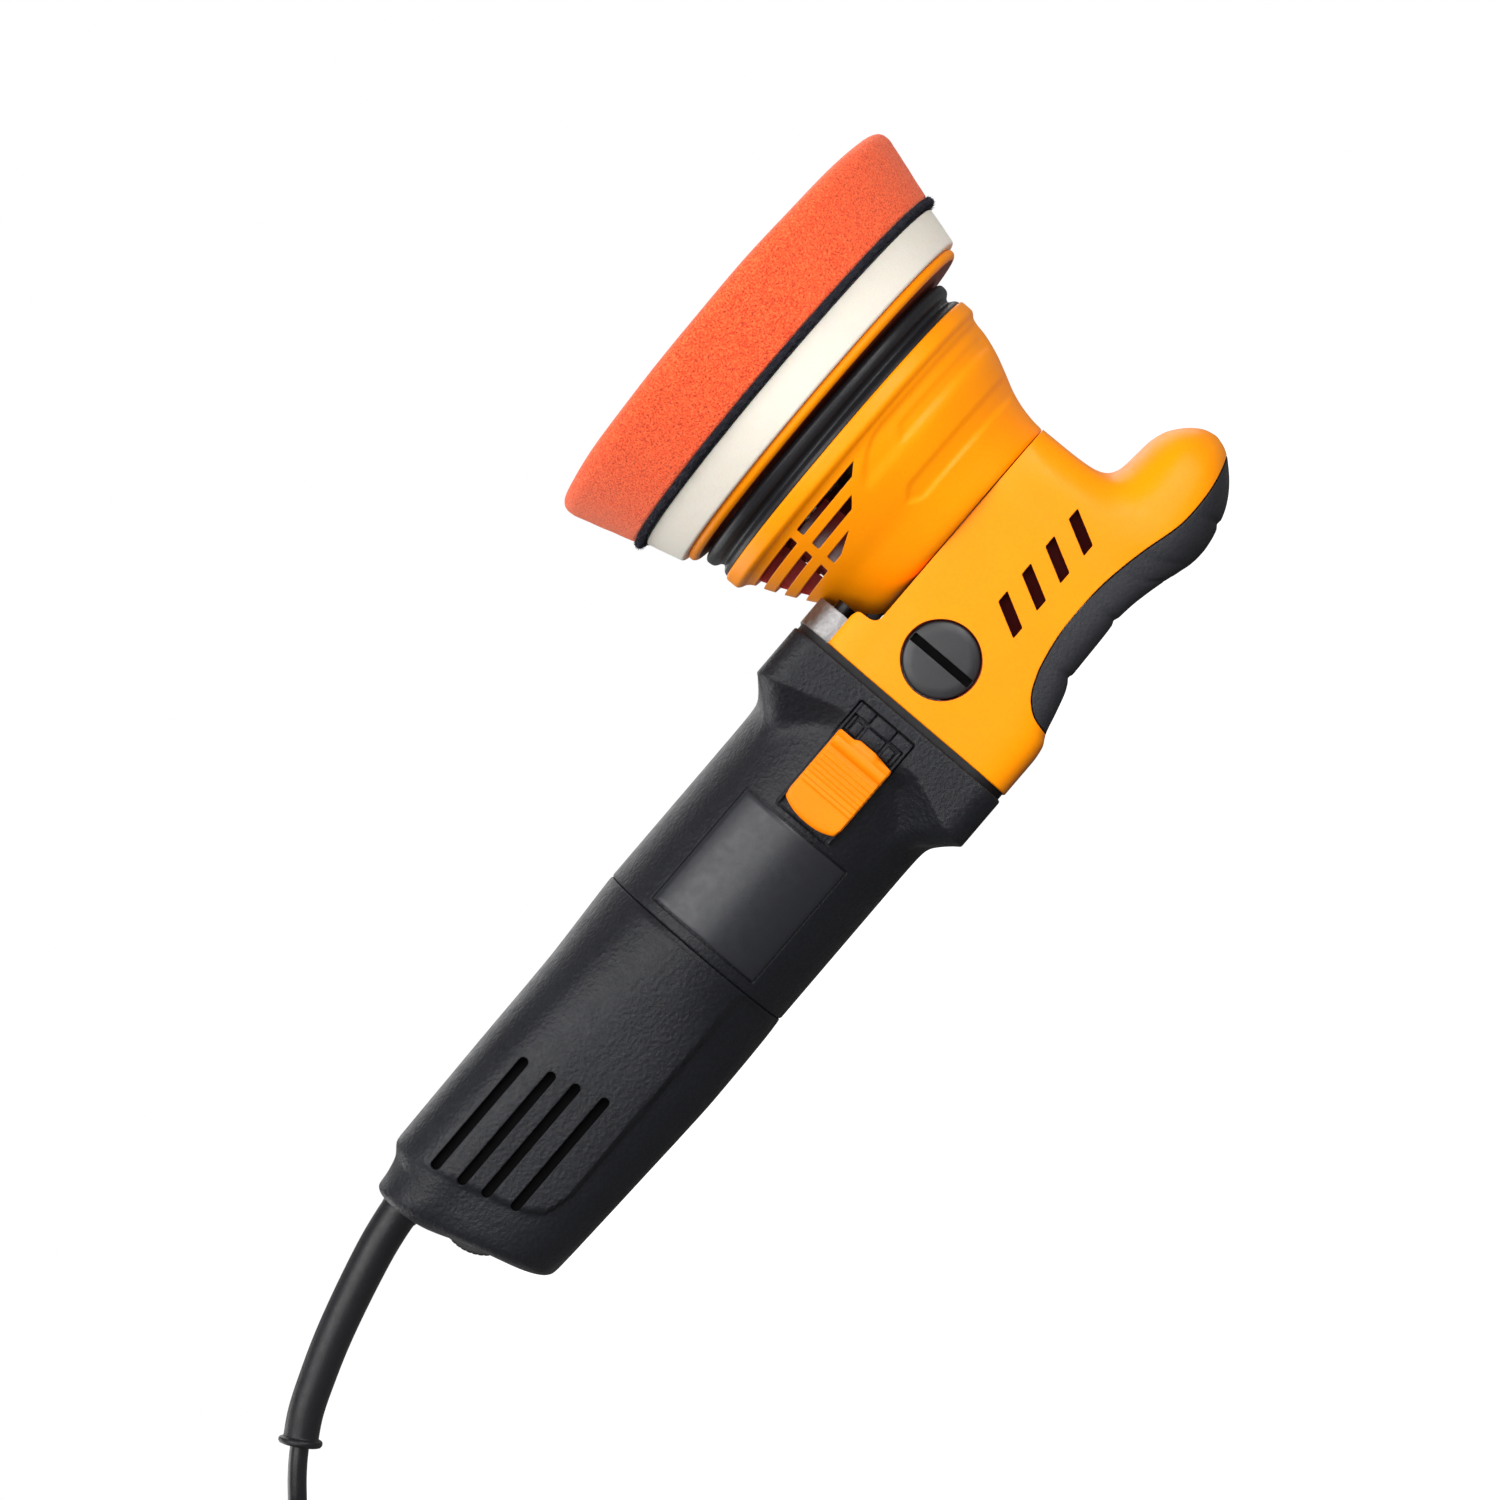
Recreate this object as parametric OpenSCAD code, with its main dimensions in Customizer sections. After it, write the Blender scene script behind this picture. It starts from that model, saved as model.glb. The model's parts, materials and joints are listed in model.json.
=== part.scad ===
// Mains dual-action polisher, parked on its back with the pad facing up.
// +X runs from the cord end to the head, +Z from the surface it lies on to the pad.

/* [Pad] */
// Foam pad diameter at its widest
foam_d = 164.4; // [150:0.2:175]
// Foam pad thickness
foam_t = 27; // [20:1:32]
// Diameter of the hook-and-loop disc
loop_d = 151.6; // [145:0.2:155]
// Thickness of the white cushion on the backing plate
cushion_t = 13; // [9:0.5:16]
// Backing plate diameter
plate_d = 134; // [126:1:140]

/* [Head] */
// Orbit diameter of the pad
orbit_d = 8; // [5:0.5:9]
// Diameter of the shroud's rim
shroud_d = 121; // [118:0.5:126]
// Wall thickness of the plastic covers
wall = 2.5; // [2:0.1:3]
// Teeth on the crown gear, an odd number
crown_teeth = 39; // [39:2:41]
// Teeth on the motor pinion
pinion_teeth = 9; // [9:1:10]

/* [Motor] */
// Diameter of the grip around the motor
grip_d = 73.5; // [71:0.5:76]
// Height of the motor axis above the surface
motor_z = 44.5; // [44:0.5:46]
// Length of the stator's iron core
core_l = 55; // [45:1:56]
// Outer diameter of the stator's iron core
stator_d = 60; // [58:0.5:61]

/* [Controls] */
// Travel of the slide switch
switch_travel = 9; // [6:0.5:9]
// Speed dial diameter
dial_d = 32; // [30:0.5:33]
// Speed dial width
dial_w = 10; // [6:0.5:11]

/* [Mains lead] */
// Diameter of the mains lead
cord_d = 6.4; // [6:0.1:7]
// Turns beside each other, and layers, in the stored coil
coil_rows = 4; // [3:1:5]

/* [Hidden] */

// Levels along the spindle, from the surface up
cover_top = 68.8;          // parting line between head cover and shroud
shroud_top = 117;
rim_z = 112;                // underside of the bead round the shroud's rim
ring_top = 126;
plate_z = 128;
plate_t = 3.5;
cushion_z = plate_z + plate_t;
hook_z = cushion_z + cushion_t;
hook_t = 1;
loop_z = hook_z + hook_t;
loop_t = 3;
foam_z = loop_z + loop_t;
pad_x = orbit_d / 2;

// Ball bearings: outside diameter, bore and width
tail_brg = [26, 10, 8];
main_brg = [42, 20, 12];
pad_brg = [35, 15, 11];
front_brg = [28, 12, 8];
rear_brg = [22, 8, 7];
run_gap = 0.03;            // radial clearance of a shaft that turns in its bearing
tail_brg_z = 16;
main_brg_z = 60;
pad_brg_z = 89.2;

// Bevel drive
crown_r = 22;              // pitch radius of the crown gear
pinion_r = crown_r * pinion_teeth / crown_teeth;
mesh_z = motor_z + pinion_r;
tooth_rise = 0.9;          // pitch line to tooth tip
tooth_drop = 1.3;          // pitch line to tooth root
tooth_w = 1.25;            // tooth thickness at the pitch line
mesh_x = [-25, -20];       // where the teeth run along the motor axis

// Places along the motor axis
flange_x = [-56, -45.5];   // flange of the gear housing
gasket_x = [-58.5, -56];
collar_x = [-78, -58.5];
seam_x = -160.5;           // seam between motor housing and rear housing
rear_x = -290.5;           // where the lead leaves
core_x = [-95 - core_l, -95];
front_brg_x = -52;
rear_brg_x = -196;
grip_r = grip_d / 2;
stator_r = stator_d / 2;
bore_r = stator_r;

// Controls
slider_x = [-105, -73];
slider_z = [33.3, 55.3];
rod_y = [-31.9, -30.5];
rod_z = [41.5, 47.5];
dial_r = dial_d / 2;
dial_at = [rear_x + 3 + dial_r, motor_z - 3.2];

// The whole tool is centred over the origin
front_x = pad_x + foam_d / 2;
mid_x = (front_x + rear_x) / 2;

// Route of the lead from the boot to the coil, and from the coil to the plug
boot_path = [[-290.5, 0, 62.5], [-295, 0, 62.2], [-306, 0, 60.4], [-322, 0, 56.6], [-338, 0, 52.1], [-352, 0, 47.2],
  [-363, 0, 42.7], [-372.4, 0, 37.2]];
run_path = [[-372.4, 0, 37.2], [-379.5, 0.2, 32.2], [-386.5, 0.8, 26.3], [-394, 2.4, 19.6],
  [-402, 5.4, 12.8], [-410.5, 10, 7.2], [-420, 16.4, 4], [-432.5, 25.3, 3.2]];
tail_path = [[-473, -62, 22.1], [-462, -68.2, 19.6], [-451, -73.8, 16.1],
  [-440, -78, 13.6], [-430, -80, 13]];
coil_at = [-460, -14];
coil_r = 6 * cord_d;       // mean radius: twelve lead diameters across
coil_t = coil_rows * cord_d;
plug_at = [-430, -80, 13];
pin_r = 2.4;
pin_l = 19;
pin_gap = 19;

orange = [0.96, 0.50, 0.02];
black = [0.09, 0.09, 0.1];
grey = [0.35, 0.36, 0.38];
metal = [0.75, 0.76, 0.78];
steel = [0.6, 0.61, 0.64];

// ---------- shared shapes ----------
module place() translate([-mid_x, 0, 0]) children();

// Cylinders along the spindle, the motor and across the tool
module z_rod(x, y, z, r) translate([x, y, z[0]]) cylinder(h = z[1] - z[0], r = r, $fn = 72);
module x_rod(x, y, z, r) translate([x[0], y, z]) rotate([0, 90, 0])
  cylinder(h = x[1] - x[0], r = r, $fn = 72);
module y_rod(x, y, z, r) translate([x, y[0], z]) rotate([-90, 0, 0])
  cylinder(h = y[1] - y[0], r = r, $fn = 72);
module motor_rod(x, r) x_rod(x, 0, motor_z, r);
module box(x, y, z) translate([x[0], y[0], z[0]]) cube([x[1] - x[0], y[1] - y[0], z[1] - z[0]]);
module both_sides() { children(); mirror([0, 1, 0]) children(); }

// Rounded rectangle, centred, from squares and true circles
module round_rect(w, h, r) {
  square([w - 2 * r, h], center = true);
  square([w, h - 2 * r], center = true);
  for (x = [-1, 1], y = [-1, 1])
    translate([x * (w / 2 - r), y * (h / 2 - r)]) circle(r = r, $fn = 48);
}

// A bar along X with a rounded rectangular section
module x_bar(x, w, z, r) translate([x[0], 0, (z[0] + z[1]) / 2]) rotate([90, 0, 90])
  linear_extrude(x[1] - x[0]) round_rect(w, z[1] - z[0], r);

// Skin through rings of points that all have the same count
module loft(rings) {
  n = len(rings[0]);
  m = len(rings);
  sides = [for (i = [0:m - 2], j = [0:n - 1]) let (k = (j + 1) % n)
    [i * n + j, i * n + k, (i + 1) * n + k, (i + 1) * n + j]];
  quads = [for (q = sides) each [[q[0], q[1], q[2]], [q[0], q[2], q[3]]]];
  first = [for (j = [n - 1:-1:0]) j];
  last = [for (j = [0:n - 1]) (m - 1) * n + j];
  polyhedron([for (r = rings) each r], concat([first], quads, [last]), convexity = 6);
}

// Point of an oval whose corners get squarer as power rises
function squircle(a, power) = [sign(cos(a)) * pow(abs(cos(a)), 2 / power),
  sign(sin(a)) * pow(abs(sin(a)), 2 / power)];

// Section across X, from [x, lowest z, highest z, half width, power], pulled in by gap
function x_ring(row, gap = 0, n = 36) = [for (k = [0:n - 1]) let (s = squircle(360 * k / n, row[4]))
  [row[0], s.x * (row[3] - gap), (row[1] + row[2]) / 2 + s.y * ((row[2] - row[1]) / 2 - gap)]];

// Section across Z, from [z, reach to the rear, reach to the front], pulled in by gap
function z_ring(row, gap = 0, n = 48) = let (half = (row[1] + row[2]) / 2)
  [for (k = [n - 1:-1:0]) let (a = 360 * k / n)
    [(row[2] - row[1]) / 2 + (half - gap) * cos(a), (half - gap) * sin(a), row[0]]];

// Round tube swept along a path, its radius going evenly from r0 to r1
function unit(v) = v / norm(v);
function heading(p, i) = unit(p[min(i + 1, len(p) - 1)] - p[max(i - 1, 0)]);
function tube_ring(at, way, r, n) = let (side = unit(cross(way, [0, 0, 1])), up = cross(side, way))
  [for (k = [0:n - 1]) at + r * (cos(360 * k / n) * side + sin(360 * k / n) * up)];
module tube(path, r0, r1, n = 10) {
  last = len(path) - 1;
  loft([for (i = [0:last]) tube_ring(path[i], heading(path, i), r0 + (r1 - r0) * i / last, n)]);
}
// Smooth curve through the points of a path
function curve_point(a, b, c, d, t) = 0.5 * (2 * b + (c - a) * t + (2 * a - 5 * b + 4 * c - d) * t * t
  + (3 * b - a - 3 * c + d) * t * t * t);
function smooth(p, steps) = let (m = len(p) - 1) concat([for (i = [0:m - 1], s = [0:steps - 1])
  curve_point(p[max(i - 1, 0)], p[i], p[i + 1], p[min(i + 2, m)], s / steps)], [p[m]]);

// Shielded ball bearing from [outside, bore, width], lying along Z from zero
module bearing(b) {
  ring = (b[0] - b[1]) / 2;
  difference() {
    cylinder(h = b[2], d = b[0], $fn = 72);
    translate([0, 0, -1]) cylinder(h = b[2] + 2, d = b[1], $fn = 72);
    for (z = [-0.5, b[2] - 0.4]) translate([0, 0, z]) difference() {
      cylinder(h = 0.9, d = b[0] - 0.5 * ring, $fn = 72);
      translate([0, 0, -1]) cylinder(h = 3, d = b[1] + 0.5 * ring, $fn = 72);
    }
  }
}
module motor_bearing(b, x) translate([x, 0, motor_z]) rotate([0, 90, 0]) bearing(b);

// Cap screw pointing down from z, with a six-sided socket
module cap_screw(r, l, head_r, head_l) difference() {
  union() {
    translate([0, 0, -l]) cylinder(h = l, r = r, $fn = 32);
    cylinder(h = head_l, r = head_r, $fn = 32);
  }
  translate([0, 0, head_l * 0.45]) cylinder(h = head_l, r = head_r * 0.5, $fn = 6);
}

// ---------- pad and plate, turning on the pad spindle ----------
module foam_pad() color([0.98, 0.40, 0.22]) place() translate([pad_x, 0, 0]) rotate_extrude($fn = 120)
  polygon([[0, foam_z], [loop_d / 2 - 0.8, foam_z], [foam_d / 2 - 1.2, foam_z + foam_t - 14],
    [foam_d / 2, foam_z + foam_t - 6], [foam_d / 2 - 2, foam_z + foam_t - 2],
    [foam_d / 2 - 6, foam_z + foam_t], [0, foam_z + foam_t]]);
module pad_loop() color([0.09, 0.1, 0.16]) place() z_rod(pad_x, 0, [loop_z, foam_z], loop_d / 2);
module hook_sheet() color([0.2, 0.2, 0.22]) place() z_rod(pad_x, 0, [hook_z, loop_z], plate_d / 2 + 5);
module plate_cushion() color([0.93, 0.92, 0.88]) place() translate([pad_x, 0, 0])
  rotate_extrude($fn = 120) polygon([[0, cushion_z], [plate_d / 2 + 2, cushion_z],
    [plate_d / 2 + 5.5, hook_z], [0, hook_z]]);
insert_r = 16;
insert_z = 118;
stud_r = 4;
screw_seat = [8.2, 4];     // radius and depth of the screw's seat in the insert
module backing_plate() color(orange) place() translate([pad_x, 0, 0]) rotate_extrude($fn = 120)
  polygon([[insert_r, insert_z], [insert_r + 6, insert_z], [insert_r + 6, plate_z - 3],
    [plate_d / 2 - 7, plate_z], [plate_d / 2 - 1, plate_z], [plate_d / 2, plate_z + 1],
    [plate_d / 2, cushion_z - 1], [plate_d / 2 - 1, cushion_z], [insert_r, cushion_z]]);
module plate_insert() color(metal) place() difference() {
  z_rod(pad_x, 0, [insert_z, cushion_z], insert_r);
  z_rod(pad_x, 0, [insert_z - 1, cushion_z + 1], stud_r);
  z_rod(pad_x, 0, [cushion_z - screw_seat[1], cushion_z + 1], screw_seat[0]);
}
stud_z = 98;
module plate_screw() color(steel) place() translate([pad_x, 0, cushion_z - screw_seat[1]])
  cap_screw(stud_r, cushion_z - screw_seat[1] - stud_z, screw_seat[0] - 0.4, screw_seat[1] - 0.4);
pad_shoulder = [111.5, 114];
module pad_spindle() color(steel) place() difference() {
  union() {
    z_rod(pad_x, 0, [pad_brg_z + 0.8, pad_shoulder[0]], pad_brg[1] / 2 - run_gap);
    z_rod(pad_x, 0, pad_shoulder, pad_brg[1] / 2 + 3);
    z_rod(pad_x, 0, [pad_shoulder[1], insert_z], pad_brg[1] / 2 + 1.5);
  }
  z_rod(pad_x, 0, [stud_z - 2, insert_z + 1], stud_r);
}

// ---------- spindle and eccentric ----------
ecc_hub_z = 76;
ecc_floor = [84, pad_brg_z];
ecc_top = pad_brg_z + 2 * pad_brg[2];
cup_r = pad_brg[0] / 2 + 4;
nose_r = 8;                // spindle end inside the eccentric
weight_r = [25, 38.5];
weight_z = [90, 108];
weight_half = 62;          // half the angle that the weight spans
key_bolt_r = 3;
module sector(r, z, half) translate([0, 0, z[0]]) rotate([0, 0, 180 - half])
  rotate_extrude(angle = 2 * half, $fn = 120)
    translate([r[0], 0]) square([r[1] - r[0], z[1] - z[0]]);
weight_bolt = [32, 38];    // radius and angle of the weight's two screws
module at_weight_bolts() for (s = [-1, 1]) rotate([0, 0, 180 + s * weight_bolt[1]])
  translate([weight_bolt[0], 0, 0]) children();
module pad_bearings() color(steel) place() for (i = [0, 1])
  translate([pad_x, 0, pad_brg_z + i * pad_brg[2]]) bearing(pad_brg);
module eccentric() color(metal) place() difference() {
  union() {
    z_rod(0, 0, [ecc_hub_z, ecc_floor[1]], 14);
    z_rod(pad_x, 0, [ecc_floor[0], ecc_top], cup_r);
    sector([10, weight_r[1]], [ecc_floor[0], weight_z[0]], weight_half);
  }
  z_rod(pad_x, 0, [pad_brg_z, ecc_top + 1], pad_brg[0] / 2);
  z_rod(0, 0, [ecc_hub_z - 1, ecc_floor[0]], nose_r);
  z_rod(0, 0, [ecc_floor[0] - 1, pad_brg_z + 1], key_bolt_r);
  z_rod(0, 0, [ecc_floor[1] - 3.6, pad_brg_z + 1], 5.4);
  at_weight_bolts() z_rod(0, 0, [ecc_floor[0] - 1, weight_z[0] + 1], 2);
}
module eccentric_screw() color(steel) place() translate([0, 0, ecc_floor[1] - 3.6])
  cap_screw(key_bolt_r, 18, 5.2, 3.2);
module balance_weight() color([0.42, 0.06, 0.05]) place() difference() {
  sector(weight_r, weight_z, weight_half - 4);
  at_weight_bolts() z_rod(0, 0, [weight_z[0] - 1, weight_z[1] + 1], 2);
}
module weight_screws() color(steel) place() at_weight_bolts() translate([0, 0, weight_z[1]])
  cap_screw(2, weight_z[1] - ecc_floor[0], 3.8, 3);
spindle_r = 7.5;
gear_z = [mesh_z + tooth_drop, 58];
module main_spindle() color(steel) place() difference() {
  union() {
    z_rod(0, 0, [tail_brg_z + 0.5, tail_brg_z + tail_brg[2] + 0.3], tail_brg[1] / 2 - run_gap);
    z_rod(0, 0, [tail_brg_z + tail_brg[2] + 0.3, gear_z[1]], spindle_r);
    z_rod(0, 0, [gear_z[1], ecc_hub_z], main_brg[1] / 2 - run_gap);
    z_rod(0, 0, [ecc_hub_z, ecc_floor[0]], nose_r);
  }
  z_rod(0, 0, [ecc_floor[1] - 23, ecc_floor[0] + 1], key_bolt_r);
}
// Crown gear: straight radial teeth that stand down from the blank
module crown_gear() color(steel) place() difference() {
  union() {
    z_rod(0, 0, gear_z, crown_r + 3.2);
    for (i = [0:crown_teeth - 1]) rotate([0, 0, 360 * i / crown_teeth])
      translate([-mesh_x[1], -tooth_w / 2, mesh_z - tooth_rise])
        cube([mesh_x[1] - mesh_x[0], tooth_w, tooth_rise + tooth_drop + 1]);
  }
  z_rod(0, 0, [gear_z[0] - 5, gear_z[1] + 1], spindle_r);
}
module spindle_bearing() color(steel) place() translate([0, 0, main_brg_z]) bearing(main_brg);
module tail_bearing() color(steel) place() translate([0, 0, tail_brg_z]) bearing(tail_brg);

// ---------- gear housing ----------
case_r = 34;
case_z = [12.5, main_brg_z];
screw_ring = 30;           // radius of the screw circle around the spindle
screw_r = 2;
module around_spindle(first, count) for (i = [0:count - 1]) rotate([0, 0, first + 360 * i / count])
  translate([screw_ring, 0, 0]) children();
neck_r = 25.3;
module bearing_flange() color(metal) place() difference() {
  union() {
    z_rod(0, 0, [main_brg_z, 66], case_r - 0.5);
    z_rod(0, 0, [66, 74], neck_r - 0.3);
    around_spindle(45, 4) z_rod(0, 0, [65, cover_top], 3.5);
  }
  z_rod(0, 0, [main_brg_z - 1, main_brg_z + main_brg[2]], main_brg[0] / 2);
  z_rod(0, 0, [main_brg_z, 75], main_brg[0] / 2 - 4);
  around_spindle(45, 4) z_rod(0, 0, [main_brg_z + 1, cover_top + 1], screw_r);
  around_spindle(0, 4) z_rod(0, 0, [main_brg_z - 1, 67], screw_r);
}
module flange_screws() color(steel) place() around_spindle(0, 4) translate([0, 0, 66])
  cap_screw(screw_r, 16, 3.3, 2.4);
plug_hole = [-34.5, motor_z + 0.3];
housing_bolt = [25, 79.5, 9.5]; // across from the middle, height above, height below
cover_bolt = [-49, 12];
module at_housing_bolts() for (s = [-1, 1], z = [housing_bolt[1], housing_bolt[2]])
  translate([0, s * housing_bolt[0], z]) children();
module gear_housing() color(metal) place() difference() {
  union() {
    z_rod(0, 0, case_z, case_r);
    motor_rod([flange_x[1] - 1, -10], 24);
    x_bar(flange_x, 66, [4, 88], 10);
    both_sides() y_rod(plug_hole.x, [18, 33.8], plug_hole.y, 9);
  }
  z_rod(0, 0, [tail_brg_z + tail_brg[2], case_z[1] + 1], crown_r + 5);
  z_rod(0, 0, [tail_brg_z, 30], tail_brg[0] / 2);
  motor_rod([front_brg_x - 5, front_brg_x + front_brg[2]], front_brg[0] / 2);
  motor_rod([front_brg_x, -20], front_brg[0] / 2 - 3.5);
  both_sides() y_rod(plug_hole.x, [22, 35], plug_hole.y, stud_r);
  around_spindle(0, 4) z_rod(0, 0, [50, case_z[1] + 1], screw_r);
  at_housing_bolts() x_rod([flange_x[0] - 1, flange_x[1] + 1], 0, 0, 2.5);
  for (a = [25, 155, 205, 335]) translate([0, 28.5 * cos(a), motor_z + 28.5 * sin(a)])
    x_rod([flange_x[0] - 1, flange_x[1] + 1], 0, 0, 4.5);
  for (s = [-1, 1]) z_rod(cover_bolt.x, s * cover_bolt.y, [3, 11], screw_r);
  // clear of the bearing flange and the shroud
  z_rod(0, 0, [case_z[1], 95], case_r);
  z_rod(0, 0, [cover_top - 0.3, 84], 45.2);
  z_rod(0, 0, [84, 95], 47.2);
}
module cap_down(x, y, z) translate([x, y, z]) rotate([180, 0, 0]) children();
module housing_screws() color(black) place() at_housing_bolts() translate([flange_x[1], 0, 0])
  rotate([0, 90, 0]) cap_screw(2.5, 29, 3.6, 3.4);

// ---------- shroud and skirt ----------
// [height, reach to the rear, reach to the front]
shroud_rows = [[cover_top, 34, 45.5], [70, 36.5, 45.5], [72.5, 39.5, 45.8], [77.5, 42, 46.6],
  [83.5, 44, 48.6], [90.5, 48, 51.9], [97, 51.3, 54.9], [104, 54.5, 57.2], [109, 56.5, 58.2],
  [110.5, 58.3, 58.8], [rim_z, shroud_d / 2, shroud_d / 2], [shroud_top, shroud_d / 2, shroud_d / 2]];
shroud_floor = 3;
shroud_lip = 3.5;          // wall at the rim
// [lowest, highest, angle where the slot starts] around the spindle from the front
vents = [[92.5, 96.2, 114], [98.5, 103, 103], [104.5, 109.5, 94]];
vent_bar = [127, 131.5];
vent_end = 172;
module vent_band(z, a0, a1) rotate([0, 0, a0]) translate([0, 0, z[0]])
  rotate_extrude(angle = a1 - a0, $fn = 96) translate([41, 0]) square([30, z[1] - z[0]]);
module shroud() color(orange) place() difference() {
  loft([for (row = shroud_rows) z_ring(row)]);
  loft([for (row = shroud_rows) if (row[0] > cover_top + shroud_floor && row[0] < shroud_top)
    z_ring(row, row[0] > rim_z - 1 ? shroud_lip + 0.5 : wall)]);
  z_rod(0, 0, [rim_z - 0.3, shroud_top + 1], shroud_d / 2 - shroud_lip);
  z_rod(0, 0, [cover_top - 1, 80], neck_r);
  around_spindle(45, 4) z_rod(0, 0, [cover_top - 1, 80], screw_r);
  both_sides() for (v = vents) {
    vent_band(v, v[2], vent_bar[0]);
    vent_band(v, vent_bar[1], vent_end);
  }
}
module shroud_screws() color(steel) place() around_spindle(45, 4)
  translate([0, 0, 72.5]) cap_screw(screw_r, 10, 3.6, 2.4);
module skirt_ring() color(black) place() rotate_extrude($fn = 120) polygon([[54, rim_z],
  [shroud_d / 2 - shroud_lip, rim_z], [shroud_d / 2 - shroud_lip, shroud_top], [59.4, shroud_top],
  [58.6, 118.8], [57.5, 120], [57.8, 121.6], [60, 123], [60, 125], [58.8, ring_top],
  [54, ring_top]]);

// ---------- head cover and horn ----------
// [x, lowest, highest, half width, power]
head_rows = [[81, 20, 26.5, 6.5, 2], [78, 15.5, 31.5, 16.5, 2.2], [73, 11, 36, 23.6, 2.4],
  [66, 6, 39, 28.4, 2.6], [58, 3.4, 39.8, 31.5, 2.8], [50, 1.8, 40, 33.6, 3],
  [46.4, 1.8, 46, 34.1, 3.6], [46, 1.9, 66, 34.2, 4], [44.5, 2.2, 70, 34.4, 4.2],
  [35, 5, 70, 35.6, 4.5], [20, 8.5, 70, 37, 4.5], [4, 9.2, 70, 37.5, 5], [-12, 9, 70, 37.5, 5],
  [-25, 4.5, 70, 37.5, 5], [-32, 2.5, 70, 37.5, 5], [-38, 0.1, 70, 37.3, 5],
  [-41, 0, 75, 37.2, 5], [-43, 0, 76.5, 37.1, 5], [-55.5, 0, 76.5, 36.6, 5]];
// Edge between the orange cover and the rubber grip, from the tail to the tip
grip_edge = [[-32.6, -5], [-31, 8.5], [-28.5, 12.5], [-25, 15.5], [-15, 19], [-5, 20.8], [5, 21],
  [15, 20.7], [25, 19.3], [35, 17.2], [45, 14.5], [58, 13.5], [65, 13.8], [72, 15], [84, 18.5],
  [84, -5]];
module grip_zone() translate([0, 60, 0]) rotate([90, 0, 0]) linear_extrude(120) polygon(grip_edge);
module head_shell(gap) loft([for (row = head_rows) x_ring(row, gap)]);
horn_wall = 4;
module horn_hollow() intersection() {
  head_shell(horn_wall);
  box([47, 74], [-50, 50], [0, 90]);
}
// Room for the gear housing: around its flange, its neck and the gears, and ahead of them
cover_gap = 0.4;
module head_hollow() {
  x_bar([-57, flange_x[1] + 4], 66 + 2 * cover_gap, [4 - cover_gap, 100], 10);
  x_bar([flange_x[1] - 1, -10], 64, [case_z[0] - cover_gap, 100], 8);
  z_rod(0, 0, [case_z[0] - cover_gap, 100], case_r + cover_gap);
  x_bar([15, 42.5], 58, [24, 64], 8);
}
module head_cover() color(orange) place() difference() {
  head_shell(0);
  head_hollow();
  horn_hollow();
  grip_zone();
  box([-40.5, 48], [-50, 50], [cover_top, 90]);
  both_sides() y_rod(plug_hole.x, [30, 40], plug_hole.y, 13.4);
  both_sides() for (i = [0:3]) translate([-13.5 + 12 * i, 30, 31]) rotate([0, 26.5, 0])
    cube([4.2, 12, 13]);
  for (s = [-1, 1]) {
    z_rod(cover_bolt.x, s * cover_bolt.y, [-1, 8], screw_r + 0.3);
    z_rod(cover_bolt.x, s * cover_bolt.y, [-1, 2.4], 3.9);
  }
}
module horn_grip() color([0.2, 0.2, 0.21]) place() difference() {
  intersection() {
    head_shell(0);
    grip_zone();
  }
  head_hollow();
  horn_hollow();
}
module cover_screws() color(steel) place() for (s = [-1, 1])
  cap_down(cover_bolt.x, s * cover_bolt.y, 2.4) cap_screw(screw_r, 8, 3.6, 2.2);
module side_plugs() color(black) place() both_sides() difference() {
  union() {
    y_rod(plug_hole.x, [34, 38.2], plug_hole.y, 13);
    y_rod(plug_hole.x, [24, 34], plug_hole.y, stud_r);
  }
  box([plug_hole.x - 1.5, plug_hole.x + 1.5], [36.6, 39], [plug_hole.y - 11, plug_hole.y + 11]);
}

// ---------- motor housing ----------
module flange_gasket() color(grey) place() difference() {
  x_bar(gasket_x, 74, [0.8, 87.2], 13);
  motor_rod([gasket_x[0] - 1, gasket_x[1] + 1], 33);
  at_housing_bolts() x_rod([gasket_x[0] - 1, gasket_x[1] + 1], 0, 0, 2.5);
}
fan_bore = 34.3;
barrel_r = [22, 26];       // rear barrel that carries the brushes
barrel_x = [-200, seam_x - 2];
bezel_y = [-38.6, -36];
bezel_x = [-106, -63];
leg_x = [-103, -97];
shoulder_rows = [[-77, 0.4, 87.6, 37.7, 5], [-80, 1.5, 86.4, 37.6, 4], [-84, 4.8, 83, 37.4, 3],
  [-88, 6.6, 81.6, 37.2, 2.4], [-98, 8.2, 80.8, 36.2, 2]];
module motor_housing() color(black) place() difference() {
  union() {
    x_bar(collar_x, 76, [0, 88], 14);
    loft([for (row = shoulder_rows) x_ring(row)]);
    motor_rod([seam_x, -90], grip_r);
    motor_rod(barrel_x, barrel_r[1]);
    motor_rod([seam_x - 4, seam_x], grip_r - wall - 0.3);
  }
  motor_rod([-80, collar_x[1] + 1], fan_bore);
  motor_rod([core_x[0], -79], bore_r);
  motor_rod([seam_x - 1, core_x[0] + 1], bore_r - 1.5);
  motor_rod([rear_brg_x + rear_brg[2], seam_x], barrel_r[0]);
  motor_rod([rear_brg_x, -188], rear_brg[0] / 2);
  box(bezel_x + [-0.2, 0.2], [-45, bezel_y[1]], slider_z + [-0.2, 0.8]);
  // channel for the switch rod, and the slot its leg runs in
  box([-201, -84], rod_y + [-0.6, 1.5], rod_z + [-0.5, 0.5]);
  box([leg_x[0] - 1, leg_x[1] + switch_travel + 1], [-45, -29], rod_z + [-0.5, 0.5]);
  for (s = [-1, 1]) box([-181, -168.8], [-5.4, 5.4],
    s > 0 ? [motor_z + 12, motor_z + 33] : [motor_z - 33, motor_z - 12]);
  at_housing_bolts() x_rod([-75, collar_x[1] + 1], 0, 0, 2.5);
}
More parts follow.
